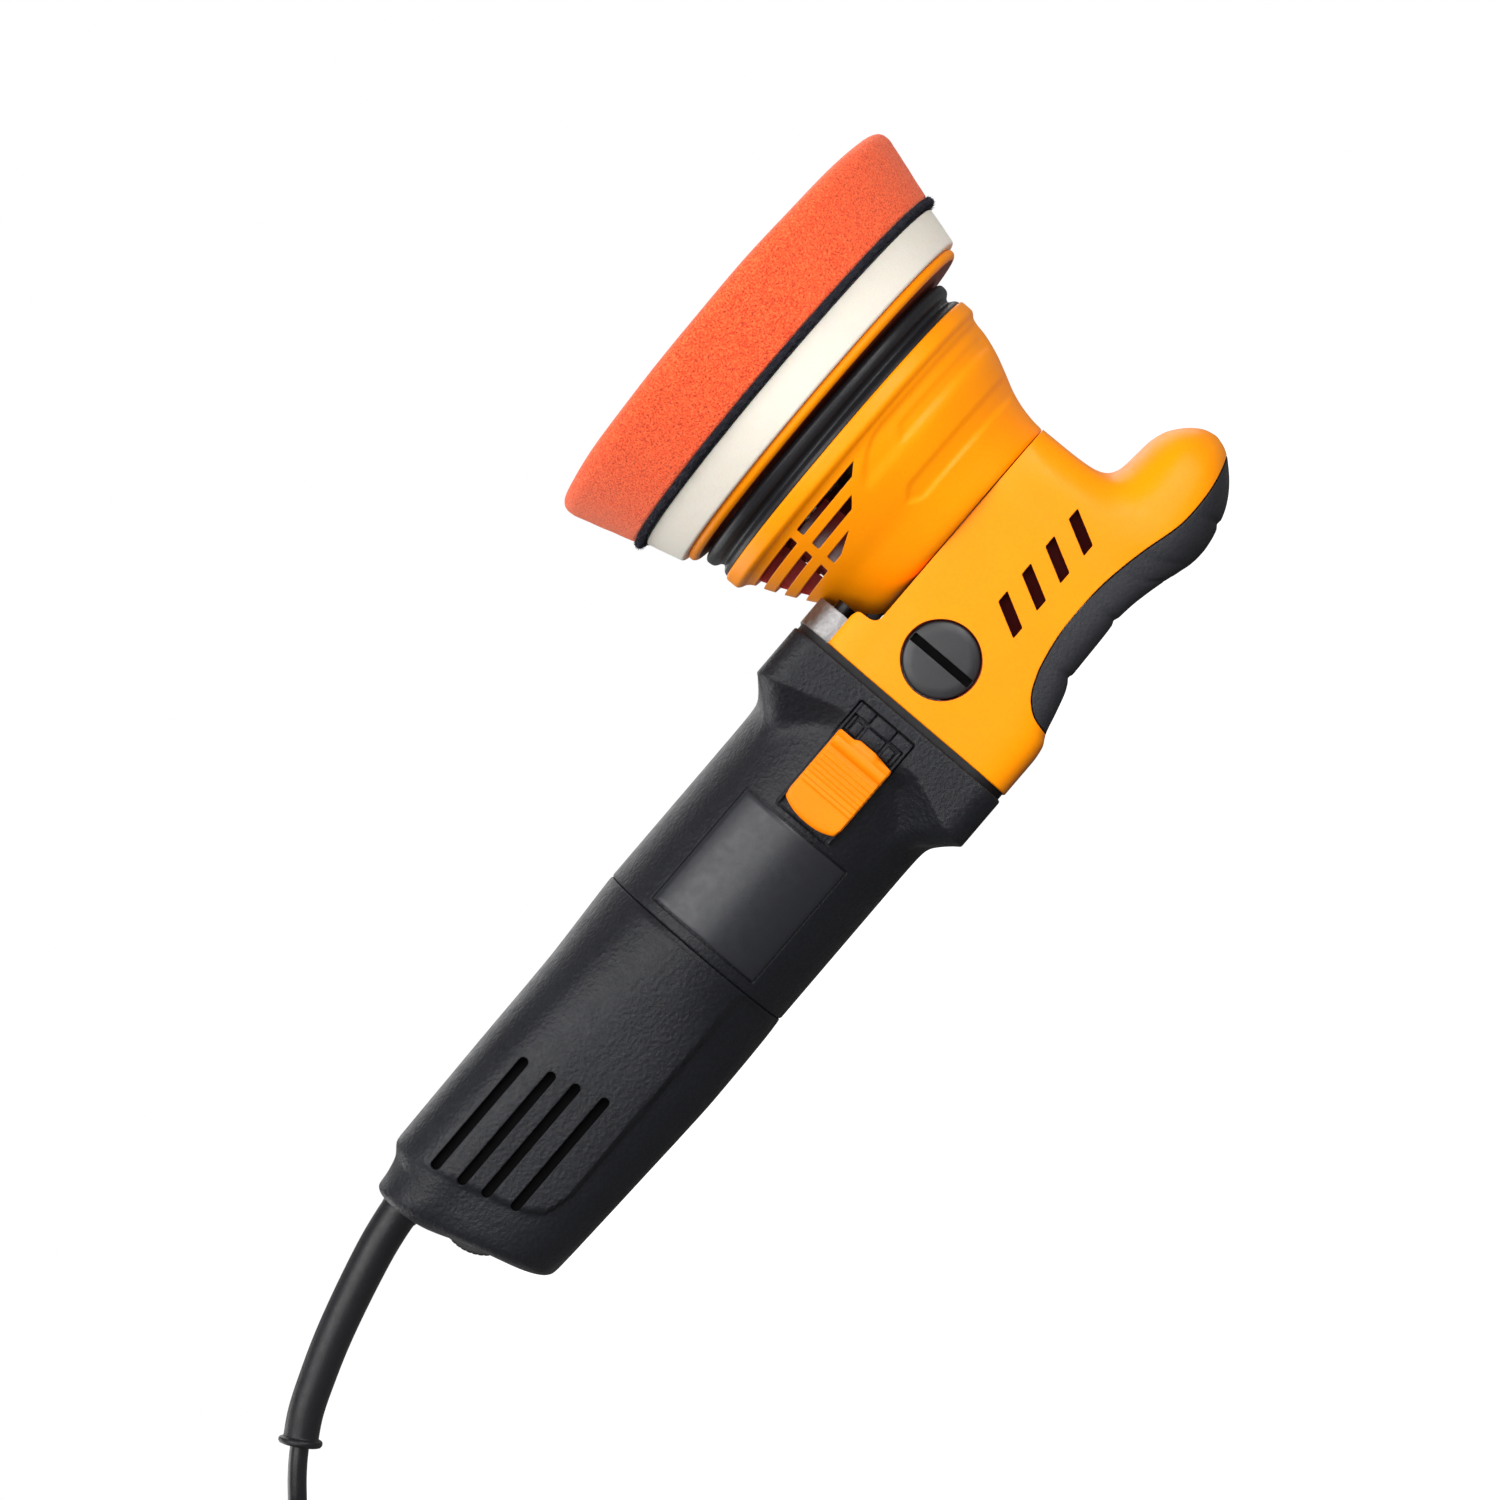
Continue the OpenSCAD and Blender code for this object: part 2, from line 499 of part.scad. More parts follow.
label_x = [-157, -109];
label_half = 35;           // half the angle that the label covers
module label_plates() color([0.16, 0.16, 0.17]) place() both_sides()
  translate([label_x[0], 0, motor_z]) rotate([90, 0, 90]) rotate([0, 0, -label_half])
    rotate_extrude(angle = 2 * label_half, $fn = 96)
      translate([grip_r, 0]) square([0.5, label_x[1] - label_x[0]]);
module switch_bezel() color(black) place() difference() {
  box(bezel_x, bezel_y, slider_z + [0, 0.6]);
  box([leg_x[0] - 1, leg_x[1] + switch_travel + 1], [-45, -29], rod_z + [-0.5, 0.5]);
}
slider_y = [-42.2, -38.7];
module switch_slider() color(orange) place() union() {
  difference() {
    box(slider_x, slider_y, slider_z);
    for (i = [0:4]) box([-93.5 + 3 * i, -92.3 + 3 * i], [-45, slider_y[0] + 0.7], slider_z + [3, -3]);
  }
  box([-80, -75.5], [slider_y[0] - 1.8, slider_y[0]], slider_z + [2, -2]);
  box(leg_x, [slider_y[1], rod_y[0]], rod_z);
}
hook_x = [-216, -212];     // hook at the end of the rod, which carries the plunger
plunger_y = [-24, -19];
module switch_rod() color(grey) place() union() {
  box([hook_x[0], leg_x[1]], rod_y, rod_z);
  box(hook_x, [rod_y[0], plunger_y[1]], rod_z);
  box([hook_x[0] - 18, hook_x[1]], plunger_y, rod_z + [0.5, -0.5]);
}
module switch_body() color(black) place() difference() {
  box([-254, -224], [-29, -11], [30, 59]);
  box([-246, -223], plunger_y + [-0.4, 0.4], rod_z + [0.1, -0.1]);
}

// ---------- motor ----------
pole_r = 19;
shaft_r = front_brg[1] / 2;
coil_ends = [[core_x[1], core_x[1] + 11], [core_x[0] - 9, core_x[0]]];
module stator_core() color(grey) place() difference() {
  motor_rod(core_x, stator_r);
  motor_rod(core_x + [-1, 1], pole_r);
}
module field_coils() color([0.55, 0.25, 0.1]) place() for (x = coil_ends) difference() {
  motor_rod(x, 27.5);
  motor_rod(x + [-1, 1], 20.5);
}
module armature_core() color(grey) place() difference() {
  motor_rod(core_x, pole_r - 0.75);
  motor_rod(core_x + [-1, 1], shaft_r);
  for (a = [0:30:330]) translate([0, 0, motor_z]) rotate([a, 0, 0])
    box(core_x + [-1, 1], [-1, 1], [15.5, 20]);
}
winding_x = [[core_x[1], core_x[1] + 8], [core_x[0] - 10, core_x[0]]];
module armature_windings() color([0.6, 0.28, 0.1]) place() for (x = winding_x) difference() {
  motor_rod(x, 16);
  motor_rod(x + [-1, 1], shaft_r);
}
commutator_x = [-184, -165];
module commutator() color([0.75, 0.42, 0.2]) place() difference() {
  motor_rod(commutator_x, 12);
  motor_rod(commutator_x + [-1, 1], shaft_r);
  for (i = [0:23]) translate([0, 0, motor_z]) rotate([15 * i, 0, 0])
    box([commutator_x[0] + 2, commutator_x[1] - 3], [-0.3, 0.3], [11, 13]);
}
rear_journal = rear_brg_x + rear_brg[2];
// Shaft with the pinion cut into its front end
module armature_shaft() color(steel) place() union() {
  motor_rod([rear_brg_x + 0.5, rear_journal + 0.3], rear_brg[1] / 2 - run_gap);
  motor_rod([rear_journal + 0.3, front_brg_x], shaft_r);
  motor_rod([front_brg_x, front_brg_x + front_brg[2] + 0.3], shaft_r - run_gap);
  motor_rod([front_brg_x + front_brg[2] + 0.3, mesh_x[0] - 1], 5);
  motor_rod([mesh_x[0] - 1, mesh_x[1] + 0.6], pinion_r - tooth_drop + 0.1);
  for (i = [0:pinion_teeth - 1]) translate([0, 0, motor_z]) rotate([360 * i / pinion_teeth, 0, 0])
    translate([mesh_x[0] - 0.5, 0, 0]) rotate([90, 0, 90]) linear_extrude(mesh_x[1] - mesh_x[0] + 0.5)
      polygon([[-0.8, 2], [-0.8, pinion_r - 1], [-0.5, pinion_r + tooth_rise],
        [0.5, pinion_r + tooth_rise], [0.8, pinion_r - 1], [0.8, 2]]);
}
module front_bearing() color(steel) place() motor_bearing(front_brg, front_brg_x);
module rear_bearing() color(steel) place() motor_bearing(rear_brg, rear_brg_x);
fan_x = [-73, -61.5];
module cooling_fan() color([0.25, 0.25, 0.27]) place() union() {
  difference() {
    motor_rod([fan_x[0], fan_x[0] + 2], 32.5);
    motor_rod(fan_x + [-1, 1], shaft_r);
  }
  difference() {
    motor_rod(fan_x, 10);
    motor_rod(fan_x + [-1, 1], shaft_r);
  }
  for (a = [0:30:330]) translate([0, 0, motor_z]) rotate([a, 0, 0])
    box([fan_x[0] + 1, fan_x[1] - 1], [-0.8, 0.8], [14, 32]);
}
module fan_baffle() color(black) place() difference() {
  motor_rod([-80, -75.5], fan_bore);
  motor_rod([-81, -74], 24);
  at_housing_bolts() x_rod([-81, -74], 0, 0, 2.5);
}

// ---------- brush gear, along Z through the motor axis ----------
brush_x = -174.9;
holder = [11, 9.5];        // along X and Y
brush = [8, 6.4];
module brush_side() for (a = [0, 180]) translate([brush_x, 0, motor_z]) rotate([a, 0, 0]) children();
module brush_block(size, z) translate([-size[0] / 2, -size[1] / 2, z[0]])
  cube([size[0], size[1], z[1] - z[0]]);
module brush_holders() color([0.78, 0.6, 0.25]) place() brush_side() difference() {
  brush_block(holder, [14, 32]);
  brush_block(brush + [0.2, 0.2], [13, 31]);
}
module carbon_brushes() color([0.12, 0.12, 0.12]) place() brush_side() brush_block(brush, [12.05, 25]);
spring_turns = 4;
module brush_springs() color(steel) place() brush_side() translate([0, 0, 25.3])
  tube([for (i = [0:12 * spring_turns]) [2.2 * cos(30 * i), 2.2 * sin(30 * i),
    0.35 + i * 4.9 / (12 * spring_turns)]], 0.35, 0.35, 6);

// ---------- rear housing ----------
rear_rows = [[seam_x, 7.7, 81.3, grip_r, 2], [-172, 7, 80.5, 36.2, 2.2], [-195, 7, 79.5, 35.6, 2.6],
  [-225, 8, 79.3, 34.8, 3], [-250, 9, 79, 34, 3.2], [-268, 9.8, 78.8, 33.2, 3.2],
  [-274, 11, 78.5, 32.4, 3.2], [-278, 18, 75.6, 31.6, 3], [-281.5, 31, 74.6, 30.6, 2.9],
  [-284, 38.5, 74.2, 29.8, 2.8], [-287, 45.5, 73.8, 28, 2.6], [-289.5, 52.5, 72.8, 25, 2.4],
  [rear_x, 55.8, 71.4, 20, 2.2]];
slot_w = 3.3;
// [height, rear end, front end] of the side vents
side_slots = [[63.3, -274, -225.5], [53.2, -272, -223], [44.5, -270, -220.5], [34.2, -267, -218]];
// Slot with round ends, cut right across the housing
module across_slot(s) translate([(s[1] + s[2]) / 2, 60, s[0]]) rotate([90, 0, 0]) linear_extrude(120) {
  square([s[2] - s[1] - slot_w, slot_w], center = true);
  for (e = [-1, 1]) translate([e * (s[2] - s[1] - slot_w) / 2, 0]) circle(d = slot_w, $fn = 24);
}
module rear_housing() color(black) place() difference() {
  loft([for (row = rear_rows) x_ring(row, 0, 40)]);
  loft(concat([x_ring([seam_x + 2, 7.7, 81.3, grip_r, 2], wall, 40)],
    [for (row = rear_rows) if (row[0] > rear_x + 2) x_ring(row, wall, 40)]));
  for (s = side_slots) across_slot(s);
  box([rear_x - 5, -270], [-dial_w / 2 - 0.6, dial_w / 2 + 0.6],
    [dial_at.y - dial_r - 0.6, dial_at.y + 13.5]);
  inner_cord(cord_d / 2);
}
lead_start = [-291.5, 62.6];
lead_tilt = 9;
module inner_cord(r, l = 12) translate([lead_start.x, 0, lead_start.y]) rotate([0, 90 - lead_tilt, 0])
  cylinder(h = l, r = r, $fn = 48);
board_y = [20.4, 22];
module controller_board() color([0.1, 0.35, 0.18]) place() box([-280, -206], board_y, [35, 62]);
module board_parts() color([0.2, 0.22, 0.5]) place() {
  y_rod(-215, [10, board_y[0]], 48, 6);
  box([-240, -226], [8, board_y[0]], [38, 57]);
  box([-256, -246], [12, board_y[0]], [40, 56]);
}
module dial_pot() color(grey) place() difference() {
  y_rod(dial_at.x, [dial_w / 2 + 1, board_y[0]], dial_at.y, 8);
  y_rod(dial_at.x, [dial_w / 2, board_y[0] - 3], dial_at.y, 3 + run_gap);
}
module speed_dial() color([0.13, 0.13, 0.14]) place() union() {
  difference() {
    y_rod(dial_at.x, [-dial_w / 2, dial_w / 2], dial_at.y, dial_r);
    for (a = [0:15:345]) translate([dial_at.x, 0, dial_at.y]) rotate([0, a, 0])
      y_rod(dial_r + 0.4, [-dial_w, dial_w], 0, 1);
  }
  y_rod(dial_at.x, [dial_w / 2, board_y[0] - 4], dial_at.y, 3);
}
clamp_x = [-262, -250];
module cord_clamp() color(grey) place() difference() {
  box(clamp_x, [-12, 12], [63, 74]);
  inner_cord(cord_d / 2, 60);
  for (s = [-1, 1]) z_rod(-256, s * 8, [60, 75], 1.6);
}
module clamp_screws() color(steel) place() for (s = [-1, 1])
  cap_down(-256, s * 8, 63) cap_screw(1.6, 9, 3, 2);

// ---------- mains lead ----------
boot_r = [6.6, 5.9];
ring_r = 7.4;
boot_end = boot_path[len(boot_path) - 1];
module cord_boot() color([0.07, 0.07, 0.07]) place() union() {
  tube(smooth(boot_path, 3), boot_r[0], boot_r[1], 16);
  tube([boot_end - 2 * heading(boot_path, len(boot_path) - 1), boot_end], ring_r, ring_r, 16);
}
module cord_run() color([0.05, 0.05, 0.05]) place() {
  tube(smooth(run_path, 3), cord_d / 2, cord_d / 2);
  tube(smooth(tail_path, 3), cord_d / 2, cord_d / 2);
}
module cord_coil() color([0.05, 0.05, 0.05]) place() translate([coil_at.x, coil_at.y, 0])
  rotate_extrude($fn = 96) translate([coil_r, coil_t / 2]) round_rect(coil_t, coil_t, cord_d / 2);
tie_t = 1.2;
tie_angle = 14;
module coil_tie() color([0.15, 0.15, 0.15]) place() intersection() {
  translate([coil_at.x, coil_at.y, 0]) rotate([0, 0, 90 - tie_angle / 2])
    rotate_extrude(angle = tie_angle, $fn = 96) translate([coil_r, coil_t / 2]) difference() {
      round_rect(coil_t + 2 * tie_t, coil_t + 2 * tie_t, cord_d / 2 + tie_t);
      round_rect(coil_t, coil_t, cord_d / 2);
    }
  box([coil_at.x - 20, coil_at.x + 20], [coil_at.y, coil_at.y + 90], [0.2, 60]);
}
plug_l = 34;
plug_size = [36, 26];      // across and high
module plug() color([0.06, 0.06, 0.06]) place() {
  translate([plug_at.x, plug_at.y, 0]) x_bar([0, plug_l], plug_size[0], [0, plug_size[1]], 8);
  for (s = [-1, 1]) x_rod([plug_at.x + plug_l, plug_at.x + plug_l + pin_l],
    plug_at.y + s * pin_gap / 2, plug_at.z, pin_r);
}

foam_pad();
pad_loop();
hook_sheet();
plate_cushion();
backing_plate();
plate_insert();
plate_screw();
pad_spindle();
pad_bearings();
eccentric();
eccentric_screw();
balance_weight();
weight_screws();
main_spindle();
crown_gear();
spindle_bearing();
tail_bearing();
bearing_flange();
flange_screws();
gear_housing();
shroud();
shroud_screws();
skirt_ring();
head_cover();
horn_grip();
cover_screws();
side_plugs();
flange_gasket();
motor_housing();
housing_screws();
label_plates();
switch_bezel();
switch_slider();
switch_rod();
switch_body();
stator_core();
field_coils();
armature_shaft();
armature_core();
armature_windings();
commutator();
front_bearing();
rear_bearing();
cooling_fan();
fan_baffle();
brush_holders();
carbon_brushes();
brush_springs();
rear_housing();
controller_board();
board_parts();
dial_pot();
speed_dial();
cord_clamp();
clamp_screws();
cord_boot();
cord_run();
cord_coil();
coil_tie();
plug();
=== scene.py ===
"""Looks of a dual-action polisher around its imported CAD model."""
import json
import math
import random

import bmesh
import bpy
import numpy as np
from mathutils import Matrix, Vector

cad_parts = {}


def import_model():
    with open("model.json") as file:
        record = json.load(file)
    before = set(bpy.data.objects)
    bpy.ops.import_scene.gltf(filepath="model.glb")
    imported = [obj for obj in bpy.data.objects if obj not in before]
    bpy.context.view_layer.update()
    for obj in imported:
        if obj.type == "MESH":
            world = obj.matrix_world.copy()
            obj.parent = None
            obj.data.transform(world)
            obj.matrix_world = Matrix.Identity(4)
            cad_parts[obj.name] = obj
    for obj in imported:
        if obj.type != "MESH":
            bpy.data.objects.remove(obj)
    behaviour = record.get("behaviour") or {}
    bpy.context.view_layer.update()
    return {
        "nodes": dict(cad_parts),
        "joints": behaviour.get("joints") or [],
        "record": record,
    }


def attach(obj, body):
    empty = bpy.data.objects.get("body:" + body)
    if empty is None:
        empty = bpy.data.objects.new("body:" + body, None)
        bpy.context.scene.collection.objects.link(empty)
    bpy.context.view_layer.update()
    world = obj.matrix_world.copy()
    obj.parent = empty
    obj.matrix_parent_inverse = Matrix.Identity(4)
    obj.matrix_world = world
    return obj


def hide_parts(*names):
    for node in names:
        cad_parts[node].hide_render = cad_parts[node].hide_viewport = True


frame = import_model()
NODES = frame["nodes"]
JOINT = {j["name"]: j for j in frame["joints"]}
MM = 0.001
SPINDLE_X = JOINT["spindle_spin"]["pos_m"][0]
MOTOR_Z = JOINT["armature_spin"]["pos_m"][2] / MM
PAD_X = (JOINT["pad_spin"]["pos_m"][0] - SPINDLE_X) / MM
DIAL = [(JOINT["dial_turn"]["pos_m"][0] - SPINDLE_X) / MM, JOINT["dial_turn"]["pos_m"][2] / MM]
SCENE = bpy.context.scene
SCENE.view_settings.view_transform = "Standard"

# Lengths below are in millimetres from the spindle's axis, as in part.scad; world() turns them into the frame.


def world(p):
    """Points in the frame, in metres."""
    q = np.array(p, float) * MM
    q[..., 0] += SPINDLE_X
    return q


# ---------- shapes ----------
def circle(n):
    """Angles of n even steps round."""
    return np.linspace(0, 2 * math.pi, n, endpoint=False)


def pchip(x, y, q):
    """Smooth rows of y over rising x at each q, with no overshoot."""
    x, y, q = (np.asarray(v, float) for v in (x, y, q))
    if y.ndim == 1:
        return pchip(x, y[:, None], q)[:, 0]
    h = np.diff(x)[:, None]
    d = np.diff(y, axis=0) / h
    m = np.zeros_like(y)
    w1, w2 = 2 * h[1:] + h[:-1], h[1:] + 2 * h[:-1]
    same = d[1:] * d[:-1] > 0
    a, b = np.where(same, d[:-1], 1), np.where(same, d[1:], 1)
    m[1:-1] = np.where(same, (w1 + w2) / (w1 / a + w2 / b), 0)
    m[0], m[-1] = d[0], d[-1]
    i = np.clip(np.searchsorted(x, q, side="right") - 1, 0, len(x) - 2)
    hh = (x[i + 1] - x[i])[:, None]
    t = (q - x[i])[:, None] / hh
    return ((1 + 2 * t) * (1 - t) ** 2 * y[i] + t * (1 - t) ** 2 * hh * m[i]
            + t * t * (3 - 2 * t) * y[i + 1] + t * t * (t - 1) * hh * m[i + 1])


def blend_rows(rows, steps):
    """Rows of numbers with smooth rows between them."""
    k = np.arange(len(rows))
    return pchip(k, rows, np.linspace(0, len(rows) - 1, (len(rows) - 1) * steps + 1))


def smooth_path(points, steps):
    """Smooth curve through points."""
    p = np.asarray(points, float)
    out = []
    for i in range(len(p) - 1):
        a, b, c, d = p[max(i - 1, 0)], p[i], p[i + 1], p[min(i + 2, len(p) - 1)]
        for s in range(steps):
            t = s / steps
            out.append(0.5 * (2 * b + (c - a) * t + (2 * a - 5 * b + 4 * c - d) * t * t
                              + (3 * b - a - 3 * c + d) * t ** 3))
    out.append(p[-1])
    return np.array(out)


def rounded(points, steps, closed=False):
    """Outline of (x, y, corner size) points with its corners rounded."""
    out, n = [], len(points)
    for i, p in enumerate(points):
        size = p[2] if len(p) > 2 else 0
        if size <= 0 or (not closed and i in (0, n - 1)):
            out.append([p[0], p[1]])
            continue
        b = np.array(p[:2], float)
        u = np.array(points[i - 1][:2]) - b
        v = np.array(points[(i + 1) % n][:2]) - b
        lu, lv = np.linalg.norm(u), np.linalg.norm(v)
        size = min(size, 0.48 * lu, 0.48 * lv)
        for t in np.linspace(0, 1, steps + 1):
            out.append(list(b + u / lu * size * (1 - t) ** 2 + v / lv * size * t ** 2))
    return np.array(out)


def divided(outline, most, closed=False):
    """Outline with no step longer than most."""
    pts = list(outline) + ([outline[0]] if closed else [])
    out = []
    for a, b in zip(pts, pts[1:]):
        n = max(1, math.ceil(np.linalg.norm(np.subtract(b, a)) / most))
        out += [a + (np.array(b) - a) * i / n for i in range(n)]
    return np.array(out if closed else out + [np.array(pts[-1])])


def skin(rings, wrap=False):
    """Vertices and faces through rings that all have the same count; its ends are closed unless it wraps."""
    rings = np.asarray(rings, float)
    r, n = rings.shape[:2]
    i = np.arange(r if wrap else r - 1)[:, None]
    j = np.arange(n)[None, :]
    a, b = i * n + j, i * n + (j + 1) % n
    c, d = (i + 1) % r * n + (j + 1) % n, (i + 1) % r * n + j
    faces = np.stack([a, b, c, d], -1).reshape(-1, 4).tolist()
    if not wrap:
        faces += [list(range(n - 1, -1, -1)), [(r - 1) * n + k for k in range(n)]]
    return rings.reshape(-1, 3), faces


def loose(name, shape, mat):
    """A mesh object that isn't a piece yet, such as a cutter, from (vertices, faces)."""
    mesh = bpy.data.meshes.new(name)
    mesh.from_pydata(world(shape[0]).tolist(), [], shape[1])
    bm = bmesh.new()
    bm.from_mesh(mesh)
    bmesh.ops.remove_doubles(bm, verts=bm.verts, dist=1e-7)
    bmesh.ops.recalc_face_normals(bm, faces=bm.faces)
    bm.to_mesh(mesh)
    bm.free()
    mesh.materials.append(MAT[mat])
    ob = bpy.data.objects.new(name, mesh)
    SCENE.collection.objects.link(ob)
    return ob


def carve(ob, *cutters, how="DIFFERENCE", keep=False):
    """Cuts, joins or crosses a mesh with other objects, which it uses up unless they are to be kept."""
    for c in cutters:
        m = ob.modifiers.new("cut", "BOOLEAN")
        m.operation, m.solver, m.object, m.material_mode = how, "EXACT", c, "TRANSFER"
    dg = bpy.context.evaluated_depsgraph_get()
    new = bpy.data.meshes.new_from_object(ob.evaluated_get(dg))
    ob.modifiers.clear()
    old, ob.data = ob.data, new
    bpy.data.meshes.remove(old)
    if not keep:
        for c in cutters:
            bpy.data.objects.remove(c)
    return ob


def cut(ob, shape, mat, how="DIFFERENCE"):
    """Carves a mesh with a shape, whose material the new faces take."""
    carve(ob, loose("cutter", shape, mat), how=how)


def piece(ob, body, slot, *stands_for, angle=32):
    """Finishes an object as a piece of the polisher; edges sharper than angle stay crisp."""
    if ob.type == "MESH":
        ob.data.shade_smooth()
        ob.data.set_sharp_from_angle(angle=math.radians(angle))
    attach(ob, body)
    if stands_for:
        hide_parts(*stands_for)
    return ob


def make(name, shape, mat, body, *stands_for, slot=None, angle=32):
    """A piece in one go; slot, or else the material's name, goes to piece, which doesn't use it."""
    return piece(loose(name, shape, mat), body, slot or mat, *stands_for, angle=angle)


def lathe(profile, x, n, axis="z", y=0.0, z=0.0, closed=False, wobble=None):
    """Turned shape from (radius, height) points about an upright axis, or (radius, depth) about one across."""
    prof = np.asarray(profile, float)
    a = circle(n)
    r, h = (np.repeat(prof[:, k:k + 1], n, 1) for k in (0, 1))
    if wobble:
        r, h = wobble(r, h, a[None, :])
    c, d = r * np.cos(a), r * np.sin(a)
    rings = {"z": (x + c, y + d, h), "y": (x + c, h, z + d), "x": (h, y + c, z + d)}[axis]
    return skin(np.stack(rings, -1), wrap=closed)


def prism(outline, y0, y1):
    """Closed shape from an (x, z) outline, running across the tool."""
    o = np.asarray(outline, float)
    rings = [np.stack([o[:, 0], np.full(len(o), y), o[:, 1]], -1) for y in (y0, y1)]
    return skin(rings)


def section(x, outline, y=0.0, z=0.0):
    """Ring at x from a (y, z) outline about a point."""
    return np.stack([np.full(len(outline), x), outline[:, 0] + y, outline[:, 1] + z], -1)


def bar(x0, x1, w, z0, z1, r):
    """Bar along X with a rounded rectangular section."""
    return skin([section(x, round_rect(w, z1 - z0, r, 12), z=(z0 + z1) / 2) for x in (x0, x1)])


def round_rect(w, h, r, n=8):
    """Outline of a rectangle with rounded corners, about its middle."""
    out = []
    for cx, cy, a0 in ((1, 1, 0), (-1, 1, 90), (-1, -1, 180), (1, -1, 270)):
        for a in np.radians(np.linspace(a0, a0 + 90, n + 1)):
            out.append([cx * (w / 2 - r) + r * math.cos(a), cy * (h / 2 - r) + r * math.sin(a)])
    return np.array(out)


def joined(parts):
    """Several (vertices, faces) shapes as one."""
    verts, faces, at = [], [], 0
    for v, f in parts:
        verts.append(np.asarray(v))
        faces += [[i + at for i in q] for q in f]
        at += len(v)
    return np.concatenate(verts), faces


def both(shape):
    """A shape together with its mirror image on the far side."""
    v, f = shape
    return joined([shape, (np.asarray(v) * [1, -1, 1], f)])


def soft_box(x, y, z, r):
    """Box with rounded edges from three (lowest, highest) pairs, its long side along X."""
    rows = [(x[0], r), (x[0] + 0.3 * r, 0.3 * r), (x[0] + r, 0)]
    rows += [(x[0] + x[1] - at, inset) for at, inset in rows[::-1]]
    rings = []
    for at, inset in rows:
        w, h = y[1] - y[0] - 2 * inset, z[1] - z[0] - 2 * inset
        rings.append(section(at, round_rect(w, h, max(r - inset * 0.6, 0.15), 4), sum(y) / 2, sum(z) / 2))
    return skin(rings)


def squircle(n, power, low):
    """Points round an oval, squarer as its power rises; low is the power of its lower half."""
    a = circle(n)[None, :]
    e = 2 / np.where(np.sin(a) < 0, low[:, None], power[:, None])
    return np.sign(np.cos(a)) * np.abs(np.cos(a)) ** e, np.sign(np.sin(a)) * np.abs(np.sin(a)) ** e


def leaning_rings(s, n):
    """Rings through rows of [top x, top z, bottom x, bottom z, half width, power above, power below]."""
    u, v = squircle(n, s[:, 5], s[:, -1])
    mid_x, mid_z = (s[:, 0] + s[:, 2]) / 2, (s[:, 1] + s[:, 3]) / 2
    dx, dz = (s[:, 0] - s[:, 2]) / 2, (s[:, 1] - s[:, 3]) / 2
    return np.stack([mid_x[:, None] + dx[:, None] * v, s[:, 4:5] * u, mid_z[:, None] + dz[:, None] * v], -1)


def waves(a, seed, orders, size):
    """Even wobble round a turned shape."""
    rng = random.Random(seed)
    return size * sum(math.sqrt(1 / len(orders)) * np.sin(k * a + rng.uniform(0, 6.28)) for k in orders)


def ease(t):
    t = np.clip(t, 0, 1)
    return t * t * (3 - 2 * t)


# ---------- materials ----------
def srgb(r, g, b):
    return tuple((c / 255 / 12.92 if c / 255 <= 0.04045 else ((c / 255 + 0.055) / 1.055) ** 2.4)
                 for c in (r, g, b)) + (1.0,)


def tint(color, k):
    """Colour made darker or lighter."""
    return tuple(min(1.0, c * k) for c in color[:3]) + (1.0,)


